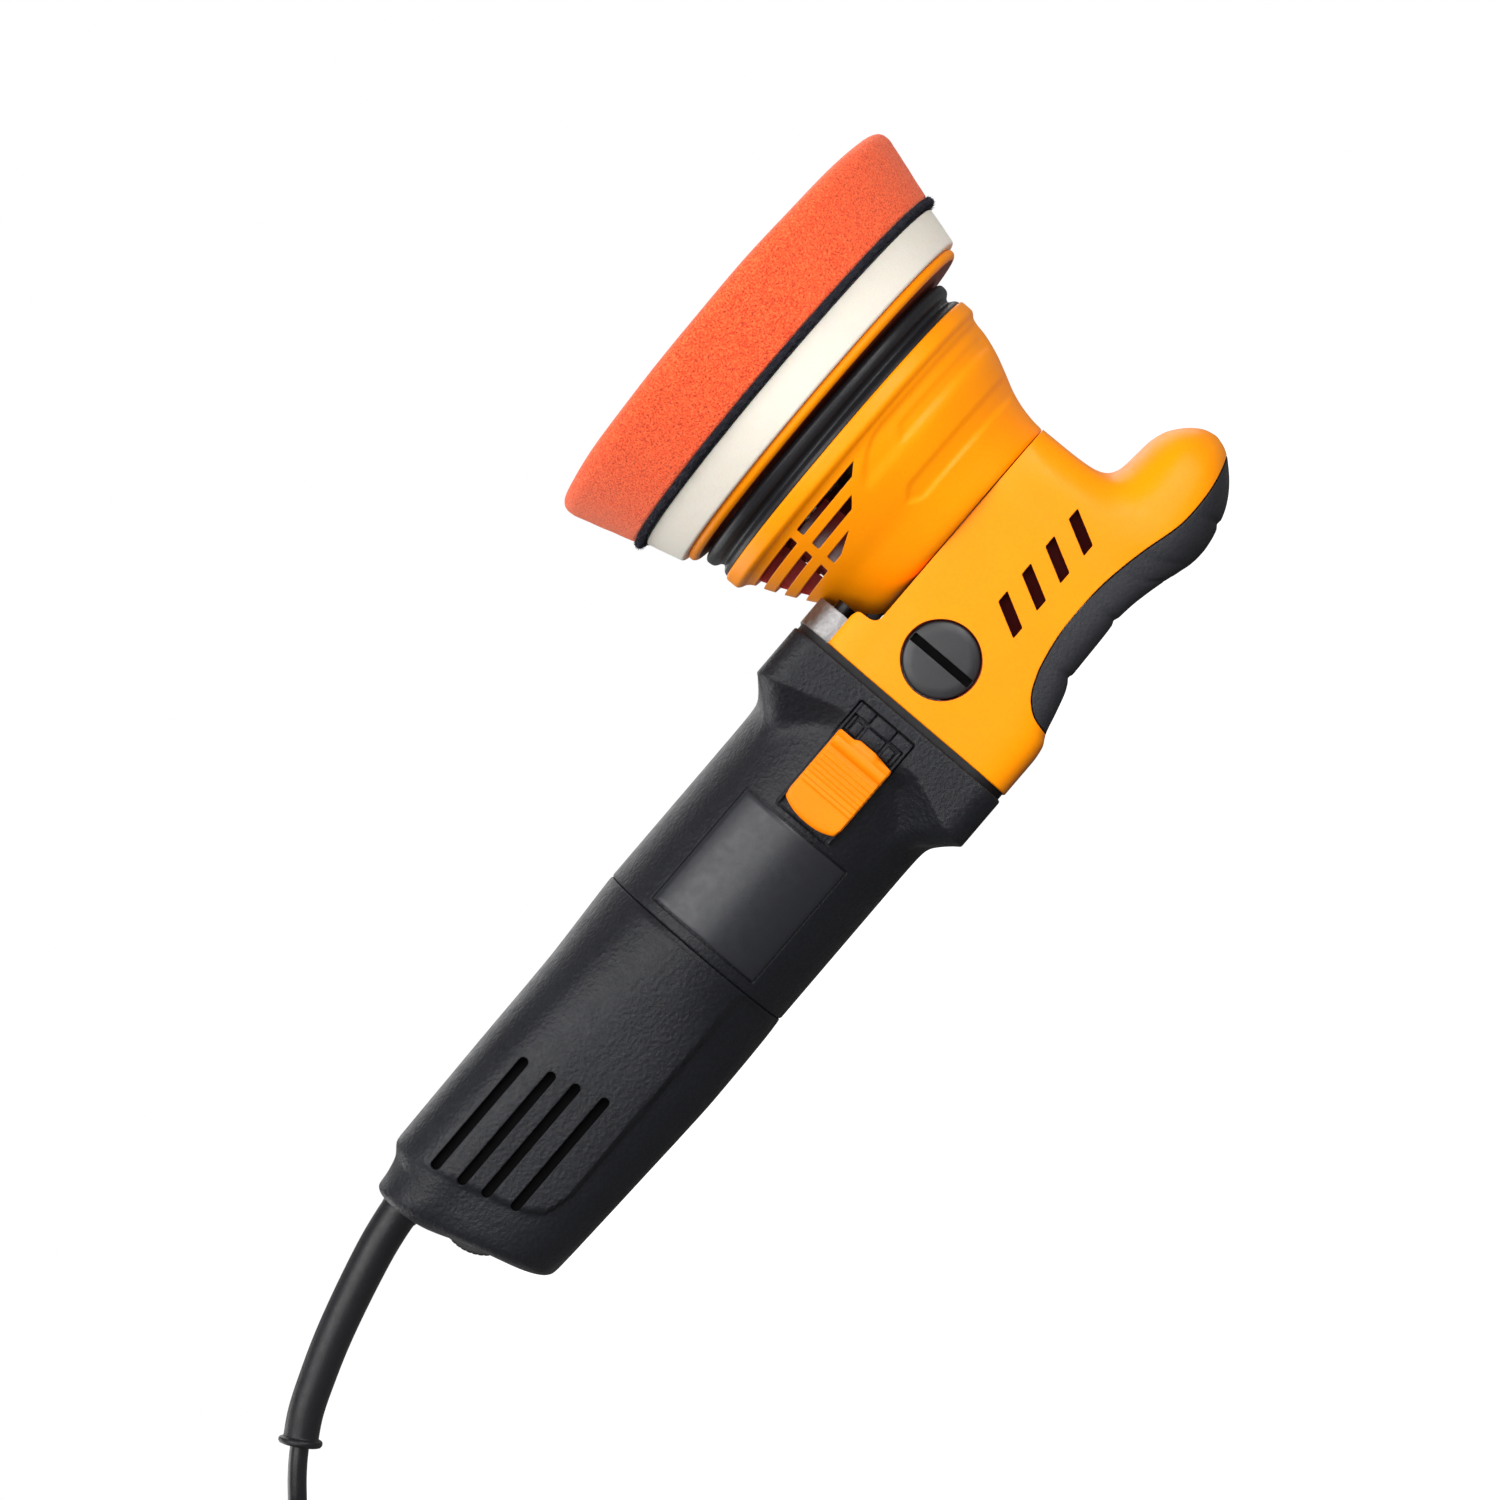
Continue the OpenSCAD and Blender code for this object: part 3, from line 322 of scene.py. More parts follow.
class Finish:
    """One procedural material, built up from its base colour."""

    def __init__(self, name, color, rough, metal=0.0, **sockets):
        self.mat = bpy.data.materials.new(name)
        self.mat.use_nodes = True
        self.tree = self.mat.node_tree
        self.tree.nodes.clear()
        self.bsdf = self.node("ShaderNodeBsdfPrincipled")
        self.link(self.bsdf.outputs[0], self.node("ShaderNodeOutputMaterial").inputs[0])
        self.coord = self.node("ShaderNodeTexCoord").outputs["Object"]
        self.color, self.rough, self.normal = color, rough, None
        sockets.update(Base_Color=color, Roughness=rough, Metallic=metal)
        for k, v in sockets.items():
            self.bsdf.inputs[k.replace("_", " ")].default_value = v
        self.mat.diffuse_color = color

    def node(self, kind, **values):
        n = self.tree.nodes.new(kind)
        for k, v in values.items():
            if k in n.inputs:
                n.inputs[k].default_value = v
            else:
                setattr(n, k, v)
        return n

    def link(self, a, b):
        self.tree.links.new(a, b)

    def texture(self, kind, result, **values):
        n = self.node(kind, **values)
        self.link(self.coord, n.inputs["Vector"])
        return n.outputs[result]

    def noise(self, scale, detail, rough=0.55):
        return self.texture("ShaderNodeTexNoise", "Fac", Scale=scale, Detail=detail, Roughness=rough)

    def cells(self, scale, feature="F1", randomness=1.0):
        return self.texture("ShaderNodeTexVoronoi", "Distance", feature=feature, Scale=scale,
                            Randomness=randomness)

    def bands(self, scale, direction, distortion=0.0):
        return self.texture("ShaderNodeTexWave", "Fac", wave_type="BANDS", bands_direction=direction,
                            Scale=scale, Distortion=distortion, Detail=2.0)

    def ramp(self, fac, stops):
        r = self.node("ShaderNodeValToRGB")
        while len(r.color_ramp.elements) < len(stops):
            r.color_ramp.elements.new(0.5)
        for e, (at, c) in zip(r.color_ramp.elements, stops):
            e.position, e.color = at, c
        self.link(fac, r.inputs["Fac"])
        return r.outputs["Color"]

    def mix(self, fac, a, b, how="MIX"):
        m = self.node("ShaderNodeMix", data_type="RGBA", blend_type=how)
        m.inputs[0].default_value = fac
        self.link(a, m.inputs[6])
        self.link(b, m.inputs[7])
        return m.outputs[2]

    def paint(self, source):
        self.link(source, self.bsdf.inputs["Base Color"])
        return self

    def mottle(self, amount, scale, fine):
        """Slight change of colour, in broad patches and in grain."""
        ends = [(0.3, tint(self.color, 1 - amount)), (0.7, tint(self.color, 1 + amount))]
        broad = self.ramp(self.noise(scale, 4), ends)
        grain = self.ramp(self.noise(fine, 2), [(0.35, (0.42,) * 3 + (1,)), (0.65, (0.58,) * 3 + (1,))])
        return self.paint(self.mix(min(1.0, amount * 6), broad, grain, "OVERLAY"))

    def gloss(self, spread, scale):
        """Roughness that changes a little from place to place."""
        r = self.node("ShaderNodeMapRange")
        r.inputs["From Min"].default_value, r.inputs["From Max"].default_value = 0.3, 0.7
        r.inputs["To Min"].default_value = max(0.02, self.rough - spread)
        r.inputs["To Max"].default_value = min(1.0, self.rough + spread)
        self.link(self.noise(scale, 4), r.inputs["Value"])
        self.link(r.outputs["Result"], self.bsdf.inputs["Roughness"])
        return self

    def soften(self, radius_mm):
        """Light catches the edges as on a moulded part."""
        b = self.node("ShaderNodeBevel", samples=4, Radius=radius_mm * MM)
        self.normal = b.outputs["Normal"]
        self.link(self.normal, self.bsdf.inputs["Normal"])
        return self

    def relief(self, height, depth_mm):
        """Bumps in the surface, on top of those it has already."""
        b = self.node("ShaderNodeBump", Strength=1.0, Distance=depth_mm * MM)
        self.link(height, b.inputs["Height"])
        if self.normal:
            self.link(self.normal, b.inputs["Normal"])
        self.normal = b.outputs["Normal"]
        self.link(self.normal, self.bsdf.inputs["Normal"])
        return self


# name: (colour, roughness, grain depth in mm, grain scale, edge radius in mm, unevenness, specular level)
PLASTICS = {
    "orange_plastic": ((255, 148, 0), 0.38, 0.035, 1050, 0.6, 0.03, 0.15),
    "orange_slide": ((255, 134, 0), 0.4, 0.03, 1050, 0.4, 0.03, 0.16),
    # orange_deep: the orange darkened, painted shade on the plate's underside and on faces inside the cover and
    # the grip
    "orange_deep": ((120, 40, 4), 0.6, 0.03, 1050, 0.3, 0.05, 0.5),
    # red_web: a lighter copy of red_weight, painted light on the web that lies in the shroud's shade
    "red_web": ((188, 22, 14), 0.5, 0.04, 900, 0.4, 0.1, 0.5),
    "red_weight": ((128, 10, 14), 0.42, 0.05, 900, 0.6, 0.1, 0.5),
    # dark_inside: dark red-black painted shade for the floors and walls of the cover's blind vent pockets
    "dark_inside": ((52, 3, 3), 0.85, 0.05, 700, 0.2, 0.05, 0.1),
    "shade": ((7, 7, 8), 0.9, 0.1, 700, 0.2, 0.05, 0.1),
    "gasket": ((24, 24, 26), 0.6, 0.05, 1200, 0.2, 0.05, 0.3),
    "black_plastic": ((24, 25, 30), 0.44, 0.3, 850, 0.7, 0.16, 0.26),
    "panel_plastic": ((34, 35, 40), 0.36, 0.012, 1500, 0.4, 0.04, 0.42),
    "dial_plastic": ((34, 34, 37), 0.42, 0.03, 1300, 0.4, 0.05, 0.5),
    "grey_plastic": ((92, 93, 97), 0.5, 0.04, 1300, 0.3, 0.05, 0.5),
    "fan_plastic": ((30, 30, 33), 0.45, 0.03, 1200, 0.3, 0.05, 0.5),
    "plug_plastic": ((26, 26, 28), 0.42, 0.04, 1300, 0.6, 0.05, 0.5),
    "grip_rubber": ((40, 41, 46), 0.55, 0.2, 1100, 0.8, 0.1, 0.32),
    "black_rubber": ((27, 27, 30), 0.4, 0.05, 1500, 0.6, 0.06, 0.3),
    "cord_pvc": ((20, 20, 23), 0.32, 0.015, 1600, 0.3, 0.04, 0.5),
    "carbon": ((40, 39, 40), 0.6, 0.04, 1600, 0.2, 0.05, 0.5),
    "components": ((38, 52, 110), 0.35, 0.01, 900, 0.5, 0.05, 0.5),
}
# name: (colour, roughness, grain depth in mm, grain scale, edge radius in mm)
METALS = {
    "cast_aluminium": ((140, 138, 138), 0.46, 0.07, 1000, 0.7),
    "bearing_steel": ((196, 198, 202), 0.2, 0.004, 1500, 0.35),
    "screw_steel": ((186, 187, 190), 0.28, 0.008, 1500, 0.35),
    "black_steel": ((44, 43, 44), 0.36, 0.012, 1500, 0.3),
    "steel": ((188, 190, 194), 0.3, 0.006, 1500, 0.35),
    "core_steel": ((120, 120, 124), 0.42, 0.01, 1500, 0.35),
    "copper_wire": ((196, 104, 58), 0.3, 0.01, 1500, 0.35),
    "holder_brass": ((206, 170, 96), 0.3, 0.01, 1500, 0.35),
    "spring_steel": ((170, 172, 176), 0.25, 0.004, 1500, 0.35),
}


def plastic(name, color, rough, grain_mm, grain, soft, amount, level):
    f = Finish(name, srgb(*color), rough, Specular_IOR_Level=level)
    f.mottle(amount, 45, grain).gloss(0.06, 300).soften(soft)
    f.relief(f.noise(grain, 3, rough=0.6), grain_mm)
    return f.relief(f.cells(grain * 0.6), grain_mm * 0.35)


def metal(name, color, rough, grain_mm, grain, soft):
    f = Finish(name, srgb(*color), rough, 1.0)
    f.mottle(0.08, 120, grain).gloss(0.1, 420).soften(soft)
    return f.relief(f.noise(grain, 4), grain_mm)


def fabrics():
    """Foams, textiles and the circuit board."""
    # open-cell polishing foam: pores, their dark speckle painted shade in the cells, with lighter fuzz at the
    # edges
    c = srgb(251, 80, 34)
    foam = Finish("foam", c, 0.92, Sheen_Weight=0.3, Sheen_Roughness=0.5, Sheen_Tint=srgb(255, 205, 180),
                  Subsurface_Weight=0.12, Subsurface_Scale=0.004)
    broad = foam.ramp(foam.noise(28, 5), [(0.3, tint(c, 0.93)), (0.7, tint(c, 1.07))])
    # dark speckle of painted shade in the pores; the relief below gives them their bumps
    pore_shade = foam.ramp(foam.noise(1500, 2, rough=0.7),
                      [(0.34, srgb(140, 28, 8)), (0.44, srgb(238, 70, 28)), (0.64, srgb(255, 124, 66))])
    foam.paint(foam.mix(0.7, broad, pore_shade))
    foam.relief(foam.noise(1500, 2, rough=0.7), 0.34).relief(foam.cells(1500), 0.12)
    # brushed loop fabric
    c = srgb(20, 21, 33)
    loop = Finish("loop_fabric", c, 0.95, Sheen_Weight=0.12, Sheen_Roughness=0.6,
                  Sheen_Tint=srgb(120, 125, 160))
    loop.paint(loop.ramp(loop.noise(1600, 4, rough=0.75),
                         [(0.3, srgb(8, 9, 16)), (0.6, c), (0.85, srgb(46, 48, 64))]))
    loop.relief(loop.noise(1600, 4, rough=0.75), 0.5)
    hooks = Finish("hook_nylon", srgb(24, 24, 28), 0.6)
    hooks.paint(hooks.ramp(hooks.cells(1400), [(0.1, srgb(10, 10, 12)), (0.6, srgb(44, 44, 50))]))
    hooks.relief(hooks.cells(1400), 0.3)
    # firm white rubber foam
    white = Finish("white_foam", srgb(228, 221, 208), 0.75, Subsurface_Weight=0.15, Subsurface_Scale=0.004,
                   Sheen_Weight=0.15)
    white.mottle(0.025, 40, 1100)
    white.relief(white.noise(1400, 3, rough=0.65), 0.10).relief(white.noise(180, 2), 0.12)
    board = Finish("board", srgb(24, 84, 44), 0.4, Coat_Weight=0.4)
    tracks = [(0.02, srgb(60, 130, 78)), (0.08, srgb(20, 74, 40))]
    board.paint(board.ramp(board.cells(260, "DISTANCE_TO_EDGE", 0.6), tracks))
    board.relief(board.cells(260, "DISTANCE_TO_EDGE", 0.6), 0.03)
    return {"foam": foam, "loop_fabric": loop, "hook_nylon": hooks, "white_foam": white, "board": board}


def materials():
    m = fabrics()
    m.update({name: plastic(name, *values) for name, values in PLASTICS.items()})
    m.update({name: metal(name, *values) for name, values in METALS.items()})
    m["red_weight"].bsdf.inputs["Coat Weight"].default_value = 0.3
    m["red_weight"].bsdf.inputs["Coat Roughness"].default_value = 0.2
    m["steel"].relief(m["steel"].bands(620, "Z"), 0.004)
    m["core_steel"].relief(m["core_steel"].bands(160, "X"), 0.12)
    m["copper_wire"].relief(m["copper_wire"].bands(330, "DIAGONAL", 1.5), 0.25)
    return {k: v.mat for k, v in m.items()}


MAT = materials()

# ---------- camera ----------
AIM = world([-98.8, 0, 73.6])
EYE = world([-98.8, -1600, 50.5])
ROLL = math.radians(49.5)
LENS = 115.2


def make_camera():
    cam = bpy.data.objects.new("camera", bpy.data.cameras.new("camera"))
    SCENE.collection.objects.link(cam)
    back = Vector(EYE - AIM).normalized()
    right = Vector((math.cos(ROLL), 0, -math.sin(ROLL)))
    right = (right - right.dot(back) * back).normalized()
    up = back.cross(right)
    cam.matrix_world = Matrix((right, up, back)).transposed().to_4x4()
    cam.location = EYE
    cam.data.lens, cam.data.sensor_width = LENS, 36
    cam.data.clip_start, cam.data.clip_end = 0.05, 60
    SCENE.camera = cam


make_camera()

# ---------- mains lead ----------
CORD_D = 6.4
BOOT = [[-290.5, 0, 62.5], [-295, 0, 62.2], [-306, 0, 60.4], [-322, 0, 56.6], [-338, 0, 52.1], [-352, 0, 47.2],
        [-363, 0, 42.7], [-372.4, 0, 37.2]]
RUN = [[-372.4, 0, 37.2], [-379.5, 0.2, 32.2], [-386.5, 0.8, 26.3], [-394, 2.4, 19.6], [-402, 5.4, 12.8],
       [-410.5, 10, 7.2], [-420, 16.4, 4], [-432.5, 25.3, 3.2]]
TAIL = [[-473, -62, 22.1], [-462, -68.2, 19.6], [-451, -73.8, 16.1], [-440, -78, 13.6], [-430, -80, 13]]
COIL_AT = [-460, -14]
ROWS = 4
COIL_R = 6 * CORD_D
PLUG_AT = TAIL[-1]
# degrees round the coil: where its first turn starts, how long its last one is, in what angle the lead goes to
# its next lane or row, and from one point to the next
FIRST_TURN, LAST_TURN, SHIFT, STEP = 55, 305, 40, 20


def coil_route():
    """Turns laid beside and on each other, each row starting a little earlier round the coil than the last."""
    lanes = [COIL_R + (i - (ROWS - 1) / 2) * CORD_D for i in range(ROWS - 1, -1, -1)]
    points, a = [], FIRST_TURN

    def add(angle, r, z):
        t = math.radians(angle)
        points.append([COIL_AT[0] + r * math.cos(t), COIL_AT[1] + r * math.sin(t), z])

    for row in range(ROWS):
        order = lanes if row % 2 == 0 else lanes[::-1]
        start = a
        last = row == ROWS - 1
        end = start + (ROWS * 360 - SHIFT if not last else (ROWS - 1) * 360 + LAST_TURN)
        while a < end:
            turn, part = divmod(a - start, 360)
            r, z = order[int(turn)], CORD_D * (row + 0.5)
            if turn < ROWS - 1:
                r += (order[int(turn) + 1] - r) * ease((part - 360 + SHIFT) / SHIFT)
            climb = (a - (end - SHIFT)) / SHIFT
            if not last and climb > 0:
                z += CORD_D * ease(climb)
                r += (1 if r > COIL_R else -1) * 2.6 * math.sin(math.pi * min(climb, 1))
            add(a, r, z)
            a += STEP
        a = end
    add(a, lanes[0], CORD_D * (ROWS - 0.5))
    return points


def make_lead():
    route = BOOT[:-1] + RUN[:-1] + coil_route() + TAIL
    curve = bpy.data.curves.new("lead", "CURVE")
    curve.dimensions = "3D"
    curve.resolution_u, curve.bevel_resolution = 5, 7
    curve.bevel_depth = CORD_D / 2 * MM
    curve.use_fill_caps = True
    s = curve.splines.new("BEZIER")
    pts = world(route)
    s.bezier_points.add(len(pts) - 1)
    for b, p in zip(s.bezier_points, pts):
        b.co = p
        b.handle_left_type = b.handle_right_type = "AUTO"
    curve.materials.append(MAT["cord_pvc"])
    lead = bpy.data.objects.new("lead", curve)
    SCENE.collection.objects.link(lead)
    return piece(lead, "tool", "cord_pvc", "cord_run", "cord_coil")


def make_boot():
    """Long strain relief: a smooth sleeve with a collar at its end, where the lead comes out."""
    path = smooth_path(BOOT, 16)
    way = np.gradient(path, axis=0)
    way /= np.linalg.norm(way, axis=1)[:, None]
    side = np.cross(way, [0, 0, 1])
    side /= np.linalg.norm(side, axis=1)[:, None]
    dist = np.concatenate([[0], np.cumsum(np.linalg.norm(np.diff(path, axis=0), axis=1))])
    total = dist[-1]
    # (distance along it, radius)
    rows = [(0, 6.2), (0.25, 6.75), (1.2, 6.9), (2.2, 6.62), (4, 6.6)]
    rows += [(s, 6.6 - 0.7 * s / total) for s in np.linspace(6, total - 4.2, 44)]
    rows += [(total - back, r) for back, r in (
        (2.9, 5.95), (2.5, 6.3), (2.2, 7.1), (1.7, 7.42), (0.9, 7.42), (0.25, 7.0), (0, 6.3), (0, 4.6),
        (0.5, 3.9), (1.4, 3.45), (6, 3.3), (6, 0.4))]
    s, r = np.array(rows).T
    # a point where the outline turns back has the direction of the end
    order = np.minimum(s, total - 0.01)

    def along(places, values):
        return np.stack([np.interp(places, dist, values[:, k]) for k in range(3)], -1)[:, None, :]

    a = circle(72)[None, :, None]
    across = np.cos(a) * along(order, side) + np.sin(a) * along(order, np.cross(side, way))
    rings = along(s, path) + r[:, None, None] * across
    return make("lead_boot", skin(rings), "black_rubber", "tool", "cord_boot")


def make_tie():
    """Strap round the turns, with its end lapped over."""
    size = CORD_D * ROWS
    parts = []
    for grow, w, lap in ((0.15, 9.4, 0), (1.25, 8.8, 12)):
        lo = round_rect(size + 2 * grow, size + 2 * grow, 3.2 + grow)
        hi = round_rect(size + 2 * grow + 2.0, size + 2 * grow + 2.0, 4.2 + grow)
        if lap:
            lo, hi = lo[2:2 + lap], hi[2:2 + lap]
        rings = []
        for x, eased in ((-w / 2, 0.125), (-w / 2 + 0.25, 0), (w / 2 - 0.25, 0), (w / 2, 0.125)):
            d = (hi - lo) * eased
            outline = np.concatenate([lo + d, (hi - d)[::-1]])
            row = section(COIL_AT[0] + x, outline, COIL_AT[1] + COIL_R, size / 2)
            row[:, 2] = np.maximum(row[:, 2], 0.2)
            rings.append(row)
        if lap:
            parts.append(skin(rings))
        else:
            inner, outer = np.array(rings)[:, :len(lo)], np.array(rings)[:, :len(lo) - 1:-1]
            parts.append(skin(np.concatenate([inner, outer[::-1]]).transpose(1, 0, 2), wrap=True))
    return make("coil_strap", joined(parts), "loop_fabric", "tool", "coil_tie")


def make_plug():
    """Moulded plug: ribbed neck, waisted grip and a flat face with two part-sleeved pins."""
    x, y, z = PLUG_AT
    rows = [[-6, 3.6, 3.6, 2], [-5.5, 4.4, 4.4, 2], [-3, 4.9, 4.9, 2], [0, 6, 5.8, 2.1], [3, 9, 7.8, 2.3],
            [7, 13.4, 10, 2.6], [12, 15.4, 11.2, 2.9], [17, 15.2, 11, 3], [22, 16, 11.9, 3.2],
            [27, 17.4, 12.7, 3.6], [31, 18, 13, 4], [33.2, 17.9, 12.9, 4], [33.9, 17.2, 12.2, 4],
            [34, 16.4, 11.4, 4]]
    s = blend_rows(rows, 6)
    u, v = squircle(96, s[:, 3], s[:, 3])
    ribs = 0.35 * np.cos((s[:, 0] - 9) / 12 * 8 * math.pi) * ((s[:, 0] > 9) & (s[:, 0] < 21))
    body = np.stack([np.repeat(s[:, :1], 96, 1) + x, (s[:, 1] - ribs)[:, None] * u + y,
                     (s[:, 2] - ribs)[:, None] * v + z], -1)
    parts = [make("plug_body", skin(body), "plug_plastic", "tool", "plug")]
    pin = [(0, 33), (2.05, 33), (2.05, 50.6), (1.75, 51.9), (1.1, 52.8), (0, 53)]
    sleeve = [(0, 33.5), (2.4, 33.5), (2.4, 43.2), (2.15, 43.5), (0, 43.5)]
    for name, outline, mat in (("plug_pins", pin, "screw_steel"), ("plug_sleeves", sleeve, "plug_plastic")):
        pair = [lathe([(r, x + h) for r, h in outline], 0, 40, "x", y + side, z) for side in (-9.5, 9.5)]
        parts.append(make(name, joined(pair), mat, "tool"))
    return parts


lead = make_lead()
make_boot()
strap = make_tie()
plug_parts = make_plug()
world(BOOT[0]).tolist()


# ---------- pad stack ----------
FACE_Z = 175.5
FOAM_Z = 147.6
LOOP_Z = 145.4
CUSHION = (131.5, 144.5)
FIBRES = 7000


def make_foam():
    prof = rounded([(0, FOAM_Z), (74.8, FOAM_Z, 1.2), (83.4, FACE_Z, 8), (0, FACE_Z)], 14)
    prof = divided(prof, 1.6)

    def wobble(r, h, a):
        rim = ease((r - 60) / 20)
        r = r + rim * (waves(a, 3, (2, 3, 5), 0.12) + waves(a + h * 0.3, 5, (17, 29, 41), 0.05))
        return np.minimum(r, 82.2), h - 0.25 * ease((h - 170) / 5) * rim * (1 + waves(a, 9, (3, 7, 11), 0.5))

    ob = make("foam", lathe(prof, PAD_X, 320, wobble=wobble), "foam", "pad", "foam_pad", angle=60)


def make_loop():
    """Loop fabric with a ragged cut edge, and fibres that stand out of it."""
    prof = divided(rounded([(0, LOOP_Z), (75.6, LOOP_Z, 1.1), (75.6, FOAM_Z, 0.9), (0, FOAM_Z)], 5), 0.7)
    prof = np.array([p for p in prof if p[0] > 68 or p[0] == 0])

    def wobble(r, h, a):
        edge = ease((r - 70) / 5)
        ragged = waves(a, 21, (3, 7, 13), 0.25) + waves(a + 0.4 * h, 22, (71, 113, 167, 229), 0.34)
        lift = waves(a, 23, (5, 11, 19), 0.22) + waves(a, 24, (47, 83, 131, 197), 0.22)
        return r + edge * ragged, h + edge * lift * np.where(h < LOOP_Z + 0.8, 1, 0.3)

    fabric = lathe(prof, PAD_X, 720, wobble=wobble)
    rng = random.Random(7)
    verts, faces = [], []
    for _ in range(FIBRES):
        a = rng.uniform(0, 2 * math.pi)
        z = rng.choice([rng.uniform(LOOP_Z - 0.1, FOAM_Z), LOOP_Z + rng.uniform(-0.1, 0.4)])
        r0 = 75.2 + rng.uniform(-0.9, 0.3) - (1.6 if z < LOOP_Z + 0.3 else 0) * rng.random()
        out, side, up = rng.uniform(0.4, 1.5), rng.uniform(-0.9, 0.9), rng.uniform(-1.0, 0.6)
        w = rng.uniform(0.07, 0.13)
        base = np.array([PAD_X + r0 * math.cos(a), r0 * math.sin(a), z])
        away, along = np.array([math.cos(a), math.sin(a), 0]), np.array([-math.sin(a), math.cos(a), 0])
        i = len(verts)
        verts += [base - w * along - [0, 0, w], base + w * along, base + [0, 0, w],
                  base + out * away + side * along + [0, 0, up]]
        faces += [[i, i + 1, i + 3], [i + 1, i + 2, i + 3], [i + 2, i, i + 3]]
    make("loop_fabric", joined([fabric, (verts, faces)]), "loop_fabric", "pad", "pad_loop", angle=50)


def make_hooks():
    """Sheet of hooks on the cushion, with a finely toothed edge."""
    prof = rounded([(0, CUSHION[1]), (72, CUSHION[1], 0.3), (72, LOOP_Z, 0.3), (0, LOOP_Z)], 3)

    def wobble(r, h, a):
        return r + (r > 60) * (waves(a, 31, (4, 9), 0.2) + 0.18 * np.sign(np.sin(180 * a))), h

    make("hook_fabric", lathe(prof, PAD_X, 720, wobble=wobble), "hook_nylon", "pad", "hook_sheet")


def make_cushion():
    z0, z1 = CUSHION
    prof = rounded([(0, z0), (69.4, z0, 1.0), (71.2, z0 + 6.5, 6), (72.9, z1, 0.7), (0, z1)], 8)
    prof = divided(prof, 1.5)

    def wobble(r, h, a):
        return r + ease((r - 50) / 20) * waves(a, 41, (2, 3, 5), 0.08), h

    ob = make("cushion", lathe(prof, PAD_X, 256, wobble=wobble), "white_foam", "pad", "plate_cushion",
              angle=50)


def make_plate():
    """Backing plate, with painted shade: a deeper orange where its underside lies in shade."""
    prof = rounded([(16, 118), (22, 118, 1), (22, 125, 1.5), (60, 128, 3), (65.8, 128.1, 1.2),
                    (67.1, 129.2, 0.9), (67.1, 130.7, 0.6), (66.4, 131.5, 0.4), (16, 131.5)],
                   5, closed=True)
    ob = loose("plate", lathe(prof, PAD_X, 256, closed=True), "orange_plastic")
    ob.data.materials.append(MAT["orange_deep"])
    mid = world([PAD_X, 0, 0])
    # downward faces inside the rim take the second material, the orange's painted shade
    for f in ob.data.polygons:
        f.material_index = int(f.normal.z < -0.5 and math.hypot(f.center.x - mid[0], f.center.y) < 64.5 * MM)
    piece(ob, "pad", "orange_plastic", "backing_plate")


def make_skirt():
    prof = rounded([(54, 112), (57, 112), (57, 117), (59.7, 117, 0.4), (59.3, 118.5, 0.8),
                    (57.3, 120, 1.4), (57.7, 121.2, 1.0), (60.0, 122.6, 1.2), (60.3, 125.6, 1.2),
                    (58.4, 126.7, 1.0), (54, 126.7, 0.4)], 6, closed=True)
    make("skirt", lathe(prof, 0, 256, closed=True), "black_rubber", "tool", "skirt_ring", angle=50)


make_foam()
make_loop()
make_hooks()
make_cushion()
make_plate()
make_skirt()

# ---------- shroud ----------
PART_Z = 68.8
RIM_Z = 117
RIM_BORE = 57
# [height, reach to the rear, reach to the front]
SHROUD = [[68.8, 35.6, 45.4], [70, 37.8, 45.5], [72.5, 39.9, 45.7], [77.5, 42, 46.6], [83.5, 44.2, 48.5],
          [90.5, 48, 51.9], [97, 51.3, 54.9], [104, 54.5, 57.2], [108.5, 56.3, 58.1], [110.3, 57.8, 58.8],
          [111.3, 59.6, 59.8], [112.3, 60.4, 60.4], [113.5, 60.5, 60.5], [116, 60.5, 60.5], [116.7, 60.3, 60.3],
          [117, 59.8, 59.8]]
NECK_R = 25.3
SHROUD_WALL = 2.5
# [lowest, highest, front end below, front end above]
SLOTS = [(105.0, 107.9, -10.6, -6.4), (98.4, 101.4, -18.3, -14.8), (91.8, 94.9, -31.2, -23.7)]
SLOT_BAR = (-37.6, -34.6)
WEB_X = -39.3


def channels(x, z):
    """Depth of the soft steps pressed into the shroud's sides."""
    low = ease((x + 6 - np.abs(z - 86.3) * 1.2) / 3) * (ease((z - 82.6) / 1.6) - ease((z - 88.8) / 1.4))
    mid = ease((x - 7 - 0.9 * (z - 100)) / 3) * (ease((z - 99.4) / 1.4) - ease((z - 103.8) / 1.2))
    arc = np.interp(z, [99, 101, 103.3, 106.2, 108.1, 108.9], [-11.4, -10.3, -8, -3.2, 1.7, 6])
    high = ease((x - arc) / 2.4) * ease((z - 97) / 5) * (1 - ease((z - 108.0) / 1.2))
    return 0.8 * low + 0.5 * mid + 0.85 * high


